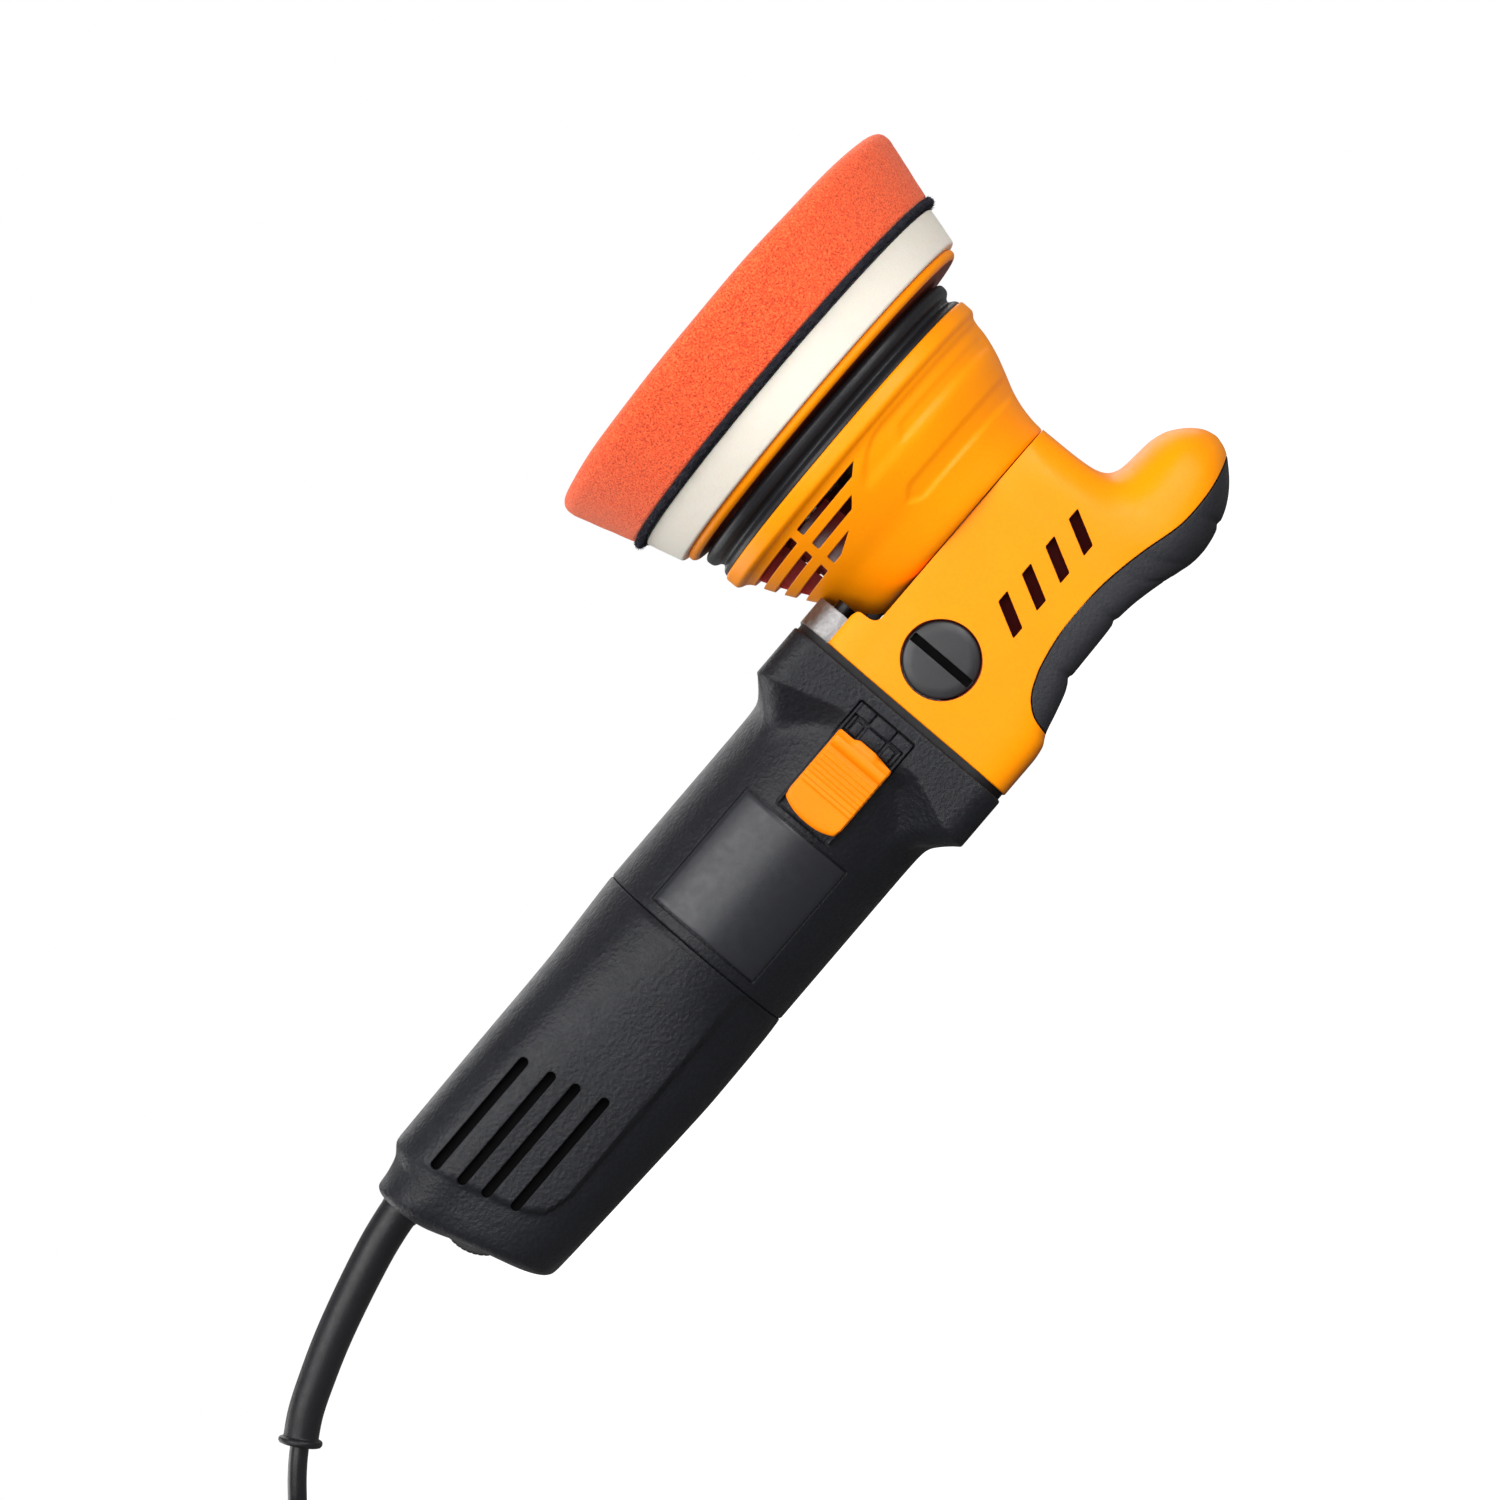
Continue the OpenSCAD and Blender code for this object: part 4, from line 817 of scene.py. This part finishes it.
def make_shroud():
    n = 288
    a = circle(n)
    rows = np.array(SHROUD)
    zs = np.unique(np.concatenate([np.arange(PART_Z, 111, 0.7), np.linspace(110, RIM_Z, 24)]))
    reach = pchip(rows[:, 0], rows[:, 1:], zs)
    reach[0] -= 0.3

    def ring(z, rear, front, gap=0.0, press=True):
        half, mid = (rear + front) / 2 - gap, (front - rear) / 2
        x, y = mid + half * np.cos(a), half * np.sin(a)
        if press:
            d = channels(x, np.full(n, z)) * ease((np.abs(y) - 6) / 14)
            x, y = mid + (half - d) * np.cos(a), (half - d) * np.sin(a)
        return np.stack([x, y, np.full(n, z)], -1)

    rings = [ring(z, *r) for z, r in zip(zs, reach)]
    floor = PART_Z + 3
    inner = np.append(np.arange(109.5, floor, -1.5), floor)
    rings += [ring(z, RIM_BORE, RIM_BORE, press=False) for z in (RIM_Z, 111.7)]
    rings += [ring(z, *r, gap=SHROUD_WALL, press=False)
              for z, r in zip(inner, pchip(rows[:, 0], rows[:, 1:], inner))]
    rings += [ring(z, NECK_R, NECK_R, press=False) for z in (floor, PART_Z)]
    ob = loose("shroud_shell", skin(rings, wrap=True), "orange_plastic")
    cuts = []
    for z0, z1, xb, xt in SLOTS:
        ahead = [(SLOT_BAR[1], z0), (xb, z0), (xt, z1), (SLOT_BAR[1], z1)]
        behind = [(-75, z0), (SLOT_BAR[0], z0), (SLOT_BAR[0], z1), (-75, z1)]
        ahead, behind = (rounded([(*p, 0.5) for p in o], 3, closed=True) for o in (ahead, behind))
        cuts += [both(prism(ahead, 20, 72)), prism(behind, -72, 72)]
    cut(ob, joined(cuts), "orange_plastic")
    piece(ob, "tool", "orange_plastic", "shroud", angle=38)
    # web across the middle of the rear, from inside the shell's wall to just clear of the turning weight, in a
    # lighter red than the weight's: painted light in its shade
    line = [(2.2 - rear, z) for z, rear in zip(zs, reach[:, 0]) if 77 < z < 111]
    web = prism([(WEB_X, 77.5), (WEB_X, 111)] + line[::-1], -2.5, 2.5)
    make("shroud_web", web, "red_web", "tool", slot="red_weight", angle=38)
    seal = soft_box((-41.3, -30), (-10, 10), (69.2, 73.2), 0.8)
    make("neck_seal", seal, "black_rubber", "tool")


make_shroud()

# ---------- head cover and grip ----------
# [top x, top z, bottom x, bottom z, half width, power above, power below]
HEAD = [[-55.95, 79.6, -55.95, 0.5, 36.5, 9, 9], [-55.6, 80, -55.6, 0, 37.0, 9, 9],
        [-50, 80, -50, 0, 37.2, 9, 9], [-42, 80, -42, 0, 37.4, 9, 9], [-36, 80, -36.5, 0.6, 37.5, 9, 9.5],
        [-31, 80, -31.5, 2.9, 37.5, 9, 10], [-25, 80, -25, 4.6, 37.5, 9, 10.5],
        [-18, 80, -18, 6.6, 37.5, 9, 11], [-12, 80, -12.5, 8.6, 37.5, 9, 11.5],
        [-4, 80, -4, 8.9, 37.5, 9, 11.5], [4, 80, 4, 9.1, 37.5, 9, 11.5], [11, 80, 11, 9.4, 37.4, 9, 11.5],
        [18, 80, 18, 8.8, 37.2, 8.5, 10.5], [25, 80, 25, 7.5, 37, 8, 8.5], [32, 80, 31.5, 5.9, 36.6, 7.5, 7],
        [39, 81, 36.5, 4.3, 36.2, 6, 5.6], [43, 82, 39.5, 3.4, 35.8, 4.6, 5],
        [44.9, 80, 41, 2.9, 35.4, 3.7, 4.5], [45.2, 68, 42.4, 2.5, 34.9, 3.2, 4.1],
        [45.4, 57, 44, 2.2, 34.3, 2.95, 3.8], [46, 49, 46.2, 1.9, 33.6, 2.8, 3.4],
        [47.3, 44.6, 49.2, 1.8, 32.8, 2.7, 3.2],
        [49.8, 41.8, 53.2, 2.2, 31.8, 2.65, 3.05], [53.5, 40.4, 58.2, 3.3, 30.5, 2.6, 2.9],
        [59, 39.8, 64, 5.1, 28.8, 2.55, 2.8], [65, 39.2, 68.5, 7.4, 26.6, 2.5, 2.7],
        [70.5, 37.6, 72.5, 10.3, 23.6, 2.45, 2.6], [75, 34.6, 76, 13.6, 19.6, 2.4, 2.5],
        [78.5, 31, 78.5, 16.3, 14.5, 2.3, 2.4], [80.6, 27.5, 80.2, 19, 9, 2.2, 2.3],
        [81.4, 24.5, 81.1, 21.5, 4, 2.1, 2.2]]
# edge between the cover and the rubber, from the tail to the tip
EDGE = [[-32.6, -6], [-32.2, 2], [-31, 8.5], [-28.5, 12.5], [-25, 15.4], [-20, 17.6], [-15, 19.1], [-5, 20.8],
        [5, 21.1], [15, 20.8], [25, 19.4], [35, 17.3], [45, 14.6], [51, 13.6], [58, 13.4], [65, 13.8], [72, 15],
        [79, 16.8], [86, 19]]
GROOVES = (-13, 11, 34, 59)
PLUG_HOLE = (-36.1, MOTOR_Z + 0.2)
PLUG_R = 12.75
# what is cut away above the cover, for the motor's flange and the shroud
COVER_TOP = [(-62, 76.5), (-43.6, 76.5, 2.4), (-41.3, 75.6, 2.2), (-40.9, 68.4, 4.4), (-30, PART_Z - 0.4),
             (60, PART_Z - 0.4), (60, 100), (-62, 100)]
SEAM = 0.22


def head_rings():
    """Head as one solid, with finger grooves across its underside; the cover and the grip are cut from it."""
    s = blend_rows(HEAD, 7)
    rings = leaning_rings(s, 144)
    low = rings[:, :, 2]
    span = s[:, 1] - s[:, 3]
    depth = 1 - ease((low - s[:, 3:4]) / (0.32 * span[:, None]))
    groove = sum(np.exp(-((s[:, 2] - g) / 1.1) ** 2) for g in GROOVES)
    rings[:, :, 2] += 0.75 * groove[:, None] * depth
    x, y, z = rings[:, :, 0], rings[:, :, 1], rings[:, :, 2]
    # its nose is rounded in plan, and a band behind the plugs stands a little proud
    band = (1 - ease((x + 31) / 5)) * (1 - ease((z - 60.6) / 0.7)) * ease((z - 27.6) / 0.7)
    rings[:, :, 1] = y + np.sign(y) * 0.35 * band * (np.abs(y) > 30)
    bend = 3.5 * (y / 35) ** 2 + 6.5 * (np.maximum(0, np.abs(y) - 24) / 11) ** 2
    rings[:, :, 0] = x - bend * ease((x - 8) / 34)
    return rings


def grip_zone(grow):
    """Everything on the rubber's side of its edge, and grow beyond it."""
    line = smooth_path(EDGE, 5)
    way = np.gradient(line, axis=0)
    way /= np.linalg.norm(way, axis=1)[:, None]
    line = line + grow * np.stack([-way[:, 1], way[:, 0]], -1)
    outline = [list(p) for p in line] + [[88, -8], [-32.6 - grow, -8]]
    return prism(outline, -60, 60)


def tongue():
    """Rubber that fills the seam behind its edge, so that no light comes through."""
    line = smooth_path(EDGE, 5)
    line = line[(line[:, 0] > 28) & (line[:, 0] < 74)]
    outline = np.concatenate([line + [0, 1.0], line[::-1] - [0, 1.0]])
    return prism(outline, -14, 14)


def head_hollow():
    """Room inside for the gear housing."""
    parts = [bar(-60, -41.5, 66.8, 3.6, 100, 10), bar(-46.5, -10, 64, 12.1, 100, 8),
             lathe([(0, 12.1), (34.4, 12.1), (34.4, 100), (0, 100)], 0, 96), bar(15, 36, 58, 24, 64, 8)]
    # its faces that land on the cover and the grip take the darker orange: painted shade inside
    first, *rest = [loose("hollow", p, "orange_deep") for p in parts]
    return carve(first, *rest, how="UNION")


def make_head():
    rings = head_rings()
    cover = loose("cover", skin(rings), "orange_plastic")
    grip = loose("grip", skin(rings), "grip_rubber")
    hollow = head_hollow()
    cut(grip, grip_zone(-SEAM), "grip_rubber", "INTERSECT")
    carve(grip, hollow, keep=True)
    cut(cover, prism(rounded(COVER_TOP, 6, closed=True), -60, 60), "orange_plastic")
    # the cover's faces along the seam with the rubber take the orange's painted shade
    cut(cover, grip_zone(SEAM), "orange_deep")
    carve(cover, hollow)
    r = PLUG_R + 0.45
    hole = lathe([(0, 33), (r, 33), (r, 37.2), (r + 0.5, 37.9), (r + 0.5, 42), (0, 42)], PLUG_HOLE[0], 128,
                 "y", z=PLUG_HOLE[1])
    # the plug holes' walls take the orange's painted shade
    cut(cover, both(hole), "orange_deep")
    pockets = []
    for i in range(4):
        x = -15.6 + 11.8 * i
        corners = [(x, 31.4), (x + 4.6, 31.4), (x + 10.6, 43), (x + 6, 43)]
        outline = rounded([(*c, 0.5) for c in corners], 3, closed=True)
        pockets.append(both(prism(outline, 34.5 if i < 3 else 33, 44)))
    # the blind pockets' walls and floors take painted shade, as if looking through to the dark inside
    cut(cover, joined(pockets), "dark_inside")
    piece(cover, "tool", "orange_plastic", "head_cover", angle=35)
    cut(grip, tongue(), "grip_rubber", "UNION")
    piece(grip, "tool", "grip_rubber", "horn_grip", angle=35)


def make_side_plugs():
    prof = rounded([(0, 24), (4, 24), (4, 34), (PLUG_R, 34, 0.3), (PLUG_R, 37.5, 0.8), (10.3, 38.2, 2),
                    (0, 38.45)], 6)
    disc = lathe(divided(prof, 1.2), PLUG_HOLE[0], 160, "y", z=PLUG_HOLE[1])
    ob = loose("brush_plugs", both(disc), "dial_plastic")
    slot = prism(round_rect(3.1, 24.6, 0.4, 3) + [PLUG_HOLE[0], PLUG_HOLE[1]], 36.1, 42)
    cut(ob, both(slot), "shade")
    piece(ob, "tool", "black_plastic", "side_plugs", angle=30)


make_head()
make_side_plugs()

# ---------- motor housing ----------
COLLAR_X = -58.5
SEAM_X = -160.5
GRIP_R = 36.75
BORE_R = 33.6
COLLAR_HALF = 38.9
COLLAR_MID = 44.0
BEZEL_X = (-106, -63)
SLIDER_Z = (33.3, 55.3)
LABEL_X = (-155.8, -109.2)
LABEL_HALF = math.radians(35)


def ray_box(a, half_w, half_h, r):
    """Distance from the middle of a rounded rectangle to its edge at each angle."""
    outline = divided(round_rect(2 * half_w, 2 * half_h, r, 24), 0.5, closed=True)
    t = np.arctan2(outline[:, 1], outline[:, 0])
    order = np.argsort(t)
    t, d = t[order], np.linalg.norm(outline, axis=1)[order]
    aa = (a + math.pi) % (2 * math.pi) - math.pi
    return np.interp(aa, np.concatenate([t - 2 * math.pi, t, t + 2 * math.pi]), np.tile(d, 3))


def make_motor_housing():
    """Round barrel that flares out to the boxy collar at a crease."""
    a = circle(240)
    box_r = ray_box(a, COLLAR_HALF, COLLAR_MID, 9)
    off = MOTOR_Z - COLLAR_MID
    grip_r, bore = (off * np.sin(a) + np.sqrt(r ** 2 - (off * np.cos(a)) ** 2) for r in (GRIP_R, BORE_R))
    z_at = COLLAR_MID + box_r * np.sin(a)
    crease = np.interp(z_at, [0, 8.5, 25.5, 58.5, 83.5, 88], [-78, -77, -70.2, -69, -77, -78])
    ramp = 6 + 0.3 * np.maximum(0, box_r - grip_r - 7)
    rings = []

    def add(x, r):
        rings.append(np.stack([np.broadcast_to(x, a.shape), r * np.cos(a), COLLAR_MID + r * np.sin(a)], -1))

    for back, down in ((0, 0.9), (0.15, 0.4), (0.5, 0.1)):
        add(COLLAR_X - back, box_r - down)
    for u in np.linspace(0, 1, 14):
        add((COLLAR_X - 1.0) * (1 - u) + (crease + 0.35) * u, box_r)
    ts = np.concatenate([[0.02], np.linspace(0.1, 3.4, 34)])
    for t, w in zip(ts, pchip([0, 0.85, 1.1, 1.5, 2.2, 3.4], [0, 0.68, 0.83, 0.94, 0.985, 1], ts)):
        add(crease - ramp * t, box_r * (1 - w) + grip_r * w)
    for u in np.linspace(0, 1, 34)[1:]:
        add((crease - ramp * 3.4) * (1 - u) + (SEAM_X + 0.9) * u, grip_r)
    for ahead, down in ((0.45, 0.12), (0.15, 0.4), (0.03, 0.9)):
        add(SEAM_X + ahead, grip_r - down)
    for x, down in ((SEAM_X + 0.03, 1.5), (-80, 1.5), (-79, 0), (COLLAR_X, 0)):
        add(x, bore - down)
    ob = loose("motor_shell", skin(rings, wrap=True), "black_plastic")
    outline = round_rect(BEZEL_X[1] - BEZEL_X[0] + 0.9, SLIDER_Z[1] - SLIDER_Z[0] + 1.4, 0.8, 3)
    outline += [sum(BEZEL_X) / 2, sum(SLIDER_Z) / 2 + 0.3]
    cut(ob, prism(outline, -50, -35.0), "black_plastic")
    # shallow seats for the side panels
    cut(ob, both(panel_shape(36.25, 40, 0.75)), "black_plastic")
    piece(ob, "tool", "black_plastic", "motor_housing", angle=30)


def panel_shape(r0, r1, grow=0.0, edge=0.0):
    """Curved panel on the -Y side between two radii, wider all round by grow, its outer edges eased."""
    half = LABEL_HALF + grow / GRIP_R
    x0, x1 = LABEL_X[0] - grow, LABEL_X[1] + grow
    angles = np.linspace(-half, half, 49)
    xs = np.linspace(x0, x1, 25)
    if edge:
        steps = edge * np.array([0, 0.3, 1])
        turn = steps / GRIP_R
        angles = np.concatenate([turn - half, angles[2:-2], half - turn[::-1]])
        xs = np.concatenate([x0 + steps, xs[1:-1], x1 - steps[::-1]])
    rings = []
    for x in xs:
        dx = min(x - x0, x1 - x)
        top = []
        for t in angles:
            d = min(dx, (half - abs(t)) * GRIP_R)
            r = r1 - (edge * 0.45 * (1 - ease(d / edge)) if edge else 0)
            top.append([x, -r * math.cos(t), MOTOR_Z + r * math.sin(t)])
        bottom = [[x, -r0 * math.cos(t), MOTOR_Z + r0 * math.sin(t)] for t in angles[::-1]]
        rings.append(top + bottom)
    return skin(rings)


def make_panels():
    make("side_panels", both(panel_shape(36.1, 37.05, edge=0.6)), "panel_plastic", "tool",
         "label_plates", angle=40)


def make_bezel():
    """Track that the slider runs in: a floor, a rim, side rails and the stops that show ahead of the slider."""
    z0, z1 = SLIDER_Z[0] - 0.1, SLIDER_Z[1] + 0.7
    zm, x0, x1 = (z0 + z1) / 2, BEZEL_X[0] + 0.2, BEZEL_X[1] - 0.2
    low = (-36.4, -35.05)
    parts = [soft_box((x0, x1), low, (z0, z1), 0.2)]

    def block(x, up, z):
        parts.append(soft_box(x, (-up, -36), tuple(sorted(z)), 0.22))

    for s in (-1, 1):
        block((x0, x1), 38.35, (zm + s * 11.15, zm + s * 10.2))
        block((-94, -74.5), 37.7, (zm + s * 4.6, zm + s * 7.6))
        block((-73.6, -68.9), 37.9, (zm + s * 5.0, zm + s * 8.1))
        block((-67.2, x1), 38.1, (zm + s * 4.6, zm + s * 10.6))
        block((-73.6, -67.6), 37.3, (zm + s * 8.7, zm + s * 9.8))
    block((-73.4, -68.3), 37.6, (zm - 3.7, zm + 3.7))
    block((-67.6, x1), 38.3, (zm - 4.1, zm + 4.1))
    make("switch_track", joined(parts), "black_plastic", "tool", "switch_bezel", angle=40)


def make_slider():
    """Thumb slide: bowed rear edge, a step, fine ribs and a raised rib to push against."""
    z0, z1 = SLIDER_Z
    zm, half = (z0 + z1) / 2, (z1 - z0) / 2
    x_rows = np.concatenate([[-105, -104.85, -104.5, -104, -103.2], np.linspace(-102, -95.4, 9),
                             np.linspace(-95, -74.6, 120), [-74.2, -73.8, -73.5, -73.3, -73.2]])
    profile = np.array([[-105, 40.9], [-104.4, 41.7], [-103, 42.15], [-100, 42.3], [-95.2, 42.2],
                        [-94.6, 42.75], [-93.6, 42.6], [-92.8, 41.75], [-82, 41.75], [-80.6, 41.8],
                        [-79.6, 43.3], [-78.2, 43.95], [-77, 43.7], [-75.6, 42.9], [-74.3, 42.3],
                        [-73.2, 41.6]])
    ribbed = ease((x_rows + 91.6) / 0.8) * ease((-81.8 - x_rows) / 0.8)
    ribs = 0.27 * (1 + np.cos((x_rows + 91) * 2 * math.pi / 1.8)) * ribbed
    height = pchip(profile[:, 0], profile[:, 1], x_rows) + ribs
    rings = []
    for x, h in zip(x_rows, height):
        end = min(1.0, (x + 105) / 1.4, (-73.2 - x) / 1.2)
        inset = 0.55 * (1 - math.sqrt(max(0.0, 1 - (1 - max(end, 0)) ** 2)))
        hh = half - inset - 0.5 * (1 - ease((x + 105) / 5))
        c = 0.9
        top = []
        for v in np.linspace(-1, 1, 40):
            d = (1 - abs(v)) * hh
            drop = c * (1 - math.sqrt(max(0.0, 1 - (1 - min(d / c, 1)) ** 2)))
            z = zm + v * hh
            bow = 2.3 * (1 - ease((x + 105) / 9)) * abs(v) ** 2.4
            nose = -1.1 * ease((x + 77) / 3.2) * ease((abs(v) - 0.28) / 0.25)
            top.append([x + bow + nose, -(h - drop), z])
        bottom = [[p[0], -38.7, p[2]] for p in top[::-1]]
        rings.append(top + bottom)
    leg = soft_box((-103, -97), (-38.9, -30.5), (41.5, 47.5), 0.2)
    make("thumb_slide", joined([skin(rings), leg]), "orange_slide", "switch",
         "switch_slider", slot="orange_plastic", angle=38)


make_motor_housing()
make_panels()
make_bezel()
make_slider()

# ---------- rear housing ----------
# [top x, top z, bottom x, bottom z, half width, power]
REAR = [[-160.52, 80.4, -160.52, 8.6, 35.9, 2], [-160.62, 80.85, -160.62, 8.15, 36.35, 2],
        [-160.95, 81.15, -160.95, 7.85, 36.65, 2], [-161.5, 81.25, -161.5, 7.75, 36.75, 2],
        [-167, 81, -167, 7.4, 36.6, 2.08], [-180, 80.3, -180, 7.1, 36.1, 2.3], [-195, 79.6, -195, 7, 35.6, 2.6],
        [-210, 79.4, -210, 7.4, 35.2, 2.8], [-225, 79.3, -225, 8, 34.8, 3], [-250, 79, -250, 9, 34, 3.2],
        [-266, 78.8, -266, 9.7, 33.3, 3.2], [-271.8, 78.7, -271, 10, 32.7, 3.15],
        [-273.6, 78.4, -273, 10.3, 32.4, 3.1], [-275.2, 77.2, -274.6, 11.3, 32.2, 3.1],
        [-277.6, 75.6, -276.4, 14, 31.9, 3.05], [-281, 74.6, -278, 18, 31.3, 3],
        [-284.5, 74.0, -279.8, 24.5, 30.4, 2.9], [-287, 73.8, -281.4, 31, 29.4, 2.8],
        [-288.3, 73.6, -283.6, 37.8, 28, 2.7], [-289.0, 73.1, -286.2, 44.2, 26.2, 2.6],
        [-289.4, 72.4, -288.2, 49.8, 24, 2.5], [-289.6, 71.4, -289.1, 54, 21.5, 2.4],
        [-289.7, 70.2, -289.5, 56.2, 19, 2.3]]
# [height, rear end, front end]
SIDE_SLOTS = [[63.2, -270.2, -222.7], [53.3, -268.3, -220.3], [44.6, -266.3, -218], [34.5, -263.4, -215.4]]
SLOT_W = 3.4
SLOT_SLANT = 0.25
REAR_WALL = 2.5


def side_face(x, z):
    """How far the raised side face stands out: it ends in a curve at the rear and a straight edge below."""
    edge_x = np.interp(z, [21, 22.9, 25.5, 31, 38, 48, 58, 66, 74],
                       [-236, -248, -258, -262, -264.4, -267.4, -270.4, -272.4, -273.4])
    rear = ease((x - edge_x) / 2.2)
    low = ease((z - 22.2) / 1.8)
    high = 1 - ease((z - 66) / 8)
    front = ease((-160.9 - x) / 1.6)
    return rear * low * high * front


def shade_sheet(x0, x1, z0, z1):
    """Thin sheet of painted shade along the shell's inner face behind the slots, with ends that slant as theirs
    do.
    """
    rows = np.array(REAR)
    zs = np.linspace(z0, z1, 40)
    rings = []
    for start in np.linspace(x1, x0, 40):
        x = start - SLOT_SLANT * (zs - z0)
        row = pchip(-rows[:, 0], rows, -x)
        sheet = []
        for inset in (REAR_WALL + 0.7, REAR_WALL + 1.5):
            mid, tall = (row[:, 1] + row[:, 3]) / 2, (row[:, 1] - row[:, 3]) / 2 - inset
            inside = 1 - np.minimum(0.999, np.abs((zs - mid) / tall)) ** row[:, 5]
            sheet.append(np.stack([x, -(row[:, 4] - inset) * inside ** (1 / row[:, 5]), zs], -1))
        rings.append(np.concatenate([sheet[0], sheet[1][::-1]]))
    return skin(rings)


def make_rear_housing():
    """Barrel's rear half: a thin shell with a domed end, side slots and a gap for the dial."""
    dense = [max(2, math.ceil(math.dist(q[:4], p[:4]) / 1.4)) for p, q in zip(REAR, REAR[1:])]
    at = np.concatenate([[0]] + [i + np.arange(1, k + 1) / k for i, k in enumerate(dense)])
    s = pchip(np.arange(len(REAR)), REAR, at)
    rings = leaning_rings(s, 224)
    x, y, z = np.moveaxis(rings, -1, 0)
    face = side_face(x, z)
    rest = ease((-160.9 - x) / 1.6) * ease((60 - z) / 12) * (1 - face)
    flat = 0.55 * (s[:, 4:5] - np.abs(y)) * ease((MOTOR_Z - z) / 6) * ease((-165 - x) / 30)
    y = y + np.sign(y) * ((0.7 + flat) * face - 1.3 * rest) * ease((np.abs(y) - 16) / 10)
    outer = np.stack([x, y, z], -1)
    keep = (s[:, 0] > -287.5) & (s[:, 0] < -160.6)
    inner = rings[keep]
    centre = inner.mean(axis=1, keepdims=True)
    size = np.abs(inner - centre).max(axis=1, keepdims=True)
    factor = np.ones_like(inner)
    factor[:, :, 1:] = (size[:, :, 1:] - REAR_WALL) / size[:, :, 1:]
    inner = centre + (inner - centre) * factor
    inner[:, :, 0] += 2.6 * ease((-262 - inner[:, :, 0]) / 15)
    ob = loose("rear_shell", skin(np.concatenate([outer[::-1], inner])), "black_plastic")
    cuts = []
    for z, x0, x1 in SIDE_SLOTS:
        o = round_rect(x1 - x0, SLOT_W, SLOT_W / 2 - 0.01, 8) + [(x0 + x1) / 2, z]
        cuts.append(prism(o, -60, 60))
    cut(ob, joined(cuts), "black_plastic")
    z0, z1 = DIAL[1] - 16.6, DIAL[1] + 13.5
    gap = rounded([(-300, z0, 0), (-270, z0, 1), (-270, z1, 1), (-300, z1, 0)], 3, closed=True)
    cut(ob, prism(gap, -5.6, 5.6), "black_plastic")
    # near-black sheets behind the side slots: painted shade inside the barrel
    shade_sheets = both(shade_sheet(-265.5, -213.5, 31, 67))
    make("vent_screens", shade_sheets, "shade", "tool", slot="black_plastic")
    piece(ob, "tool", "black_plastic", "rear_housing")


def make_dial():
    """Thumb wheel with a finely notched rim."""
    prof = divided(rounded([(0, -5), (15.9, -5, 0.9), (15.9, 5, 0.9), (0, 5)], 5), 2.0)

    def wobble(r, h, a):
        notch = 0.14 * ease((np.cos(48 * a) - 0.3) / 0.6)
        return r - notch * ease((r - 13) / 2), h

    disc = lathe(prof, DIAL[0], 576, "y", z=DIAL[1], wobble=wobble)
    pin = lathe([(0, 4), (3, 4), (3, 16.4), (0, 16.4)], DIAL[0], 40, "y", z=DIAL[1])
    make("dial_wheel", joined([disc, pin]), "dial_plastic", "dial", "speed_dial", angle=35)


make_rear_housing()
make_dial()

# ---------- CAD nodes that stay: their finishes ----------
slot_of = {part["node"]: part["material_slot"] for part in frame["record"]["subparts"]}
for name, ob in NODES.items():
    ob.data.materials.clear()
    ob.data.materials.append(MAT["gasket" if name == "flange_gasket" else slot_of[name]])


# ---------- floor and light ----------
FLOOR_R = 14
FLOOR_SIDES = 96
FLOOR_DROP = 0.0002


def seen_level(nt, unseen, socket):
    """Strength 1 where the camera sees it, and a lower one in the light that it gives."""
    seen = nt.nodes.new("ShaderNodeLightPath")
    level = nt.nodes.new("ShaderNodeMapRange")
    level.inputs["To Min"].default_value, level.inputs["To Max"].default_value = unseen, 1.0
    nt.links.new(seen.outputs["Is Camera Ray"], level.inputs["Value"])
    nt.links.new(level.outputs["Result"], socket)


def make_floor():
    mesh = bpy.data.meshes.new("floor")
    bm = bmesh.new()
    bmesh.ops.create_circle(bm, cap_ends=True, segments=FLOOR_SIDES, radius=FLOOR_R)
    bm.to_mesh(mesh)
    bm.free()
    floor = bpy.data.objects.new("floor", mesh)
    floor.location.z = -FLOOR_DROP
    SCENE.collection.objects.link(floor)
    mat = bpy.data.materials.new("floor")
    mat.use_nodes = True
    nt = mat.node_tree
    nt.nodes.clear()
    out, glow, matte, add = (nt.nodes.new("ShaderNode" + kind) for kind in
                             ("OutputMaterial", "Emission", "BsdfDiffuse", "AddShader"))
    matte.inputs["Color"].default_value = (0.2, 0.2, 0.2, 1)
    seen_level(nt, 0.05, glow.inputs["Strength"])
    for a, b in ((glow, add.inputs[0]), (matte, add.inputs[1]), (add, out.inputs[0])):
        nt.links.new(a.outputs[0], b)
    mesh.materials.append(mat)


def make_world():
    w = bpy.data.worlds.new("studio")
    SCENE.world = w
    w.use_nodes = True
    bg = w.node_tree.nodes["Background"]
    seen_level(w.node_tree, 0.24, bg.inputs["Strength"])
    bg.inputs["Color"].default_value = (1, 1, 1, 1)


def softbox(name, at, watts, size):
    """Area light, size in metres, aimed at the tool's middle."""
    light = bpy.data.lights.new(name, "AREA")
    light.energy, light.shape = watts, "RECTANGLE"
    light.size, light.size_y = size
    ob = bpy.data.objects.new(name, light)
    SCENE.collection.objects.link(ob)
    ob.location = world(at)
    way = Vector(world([-60, 0, 70])) - ob.location
    ob.rotation_mode = "QUATERNION"
    ob.rotation_quaternion = way.to_track_quat("-Z", "Y")


make_floor()
make_world()
softbox("key", [-520, -1150, 1050], 21, (1.3, 1.0))
softbox("front", [900, -1050, 260], 13, (1.1, 0.5))
softbox("face", [-300, -1450, 340], 7, (1.2, 0.55))
softbox("back", [300, 1200, 900], 11, (1.8, 1.2))
softbox("rear", [-1200, 500, 500], 8, (1.0, 1.0))
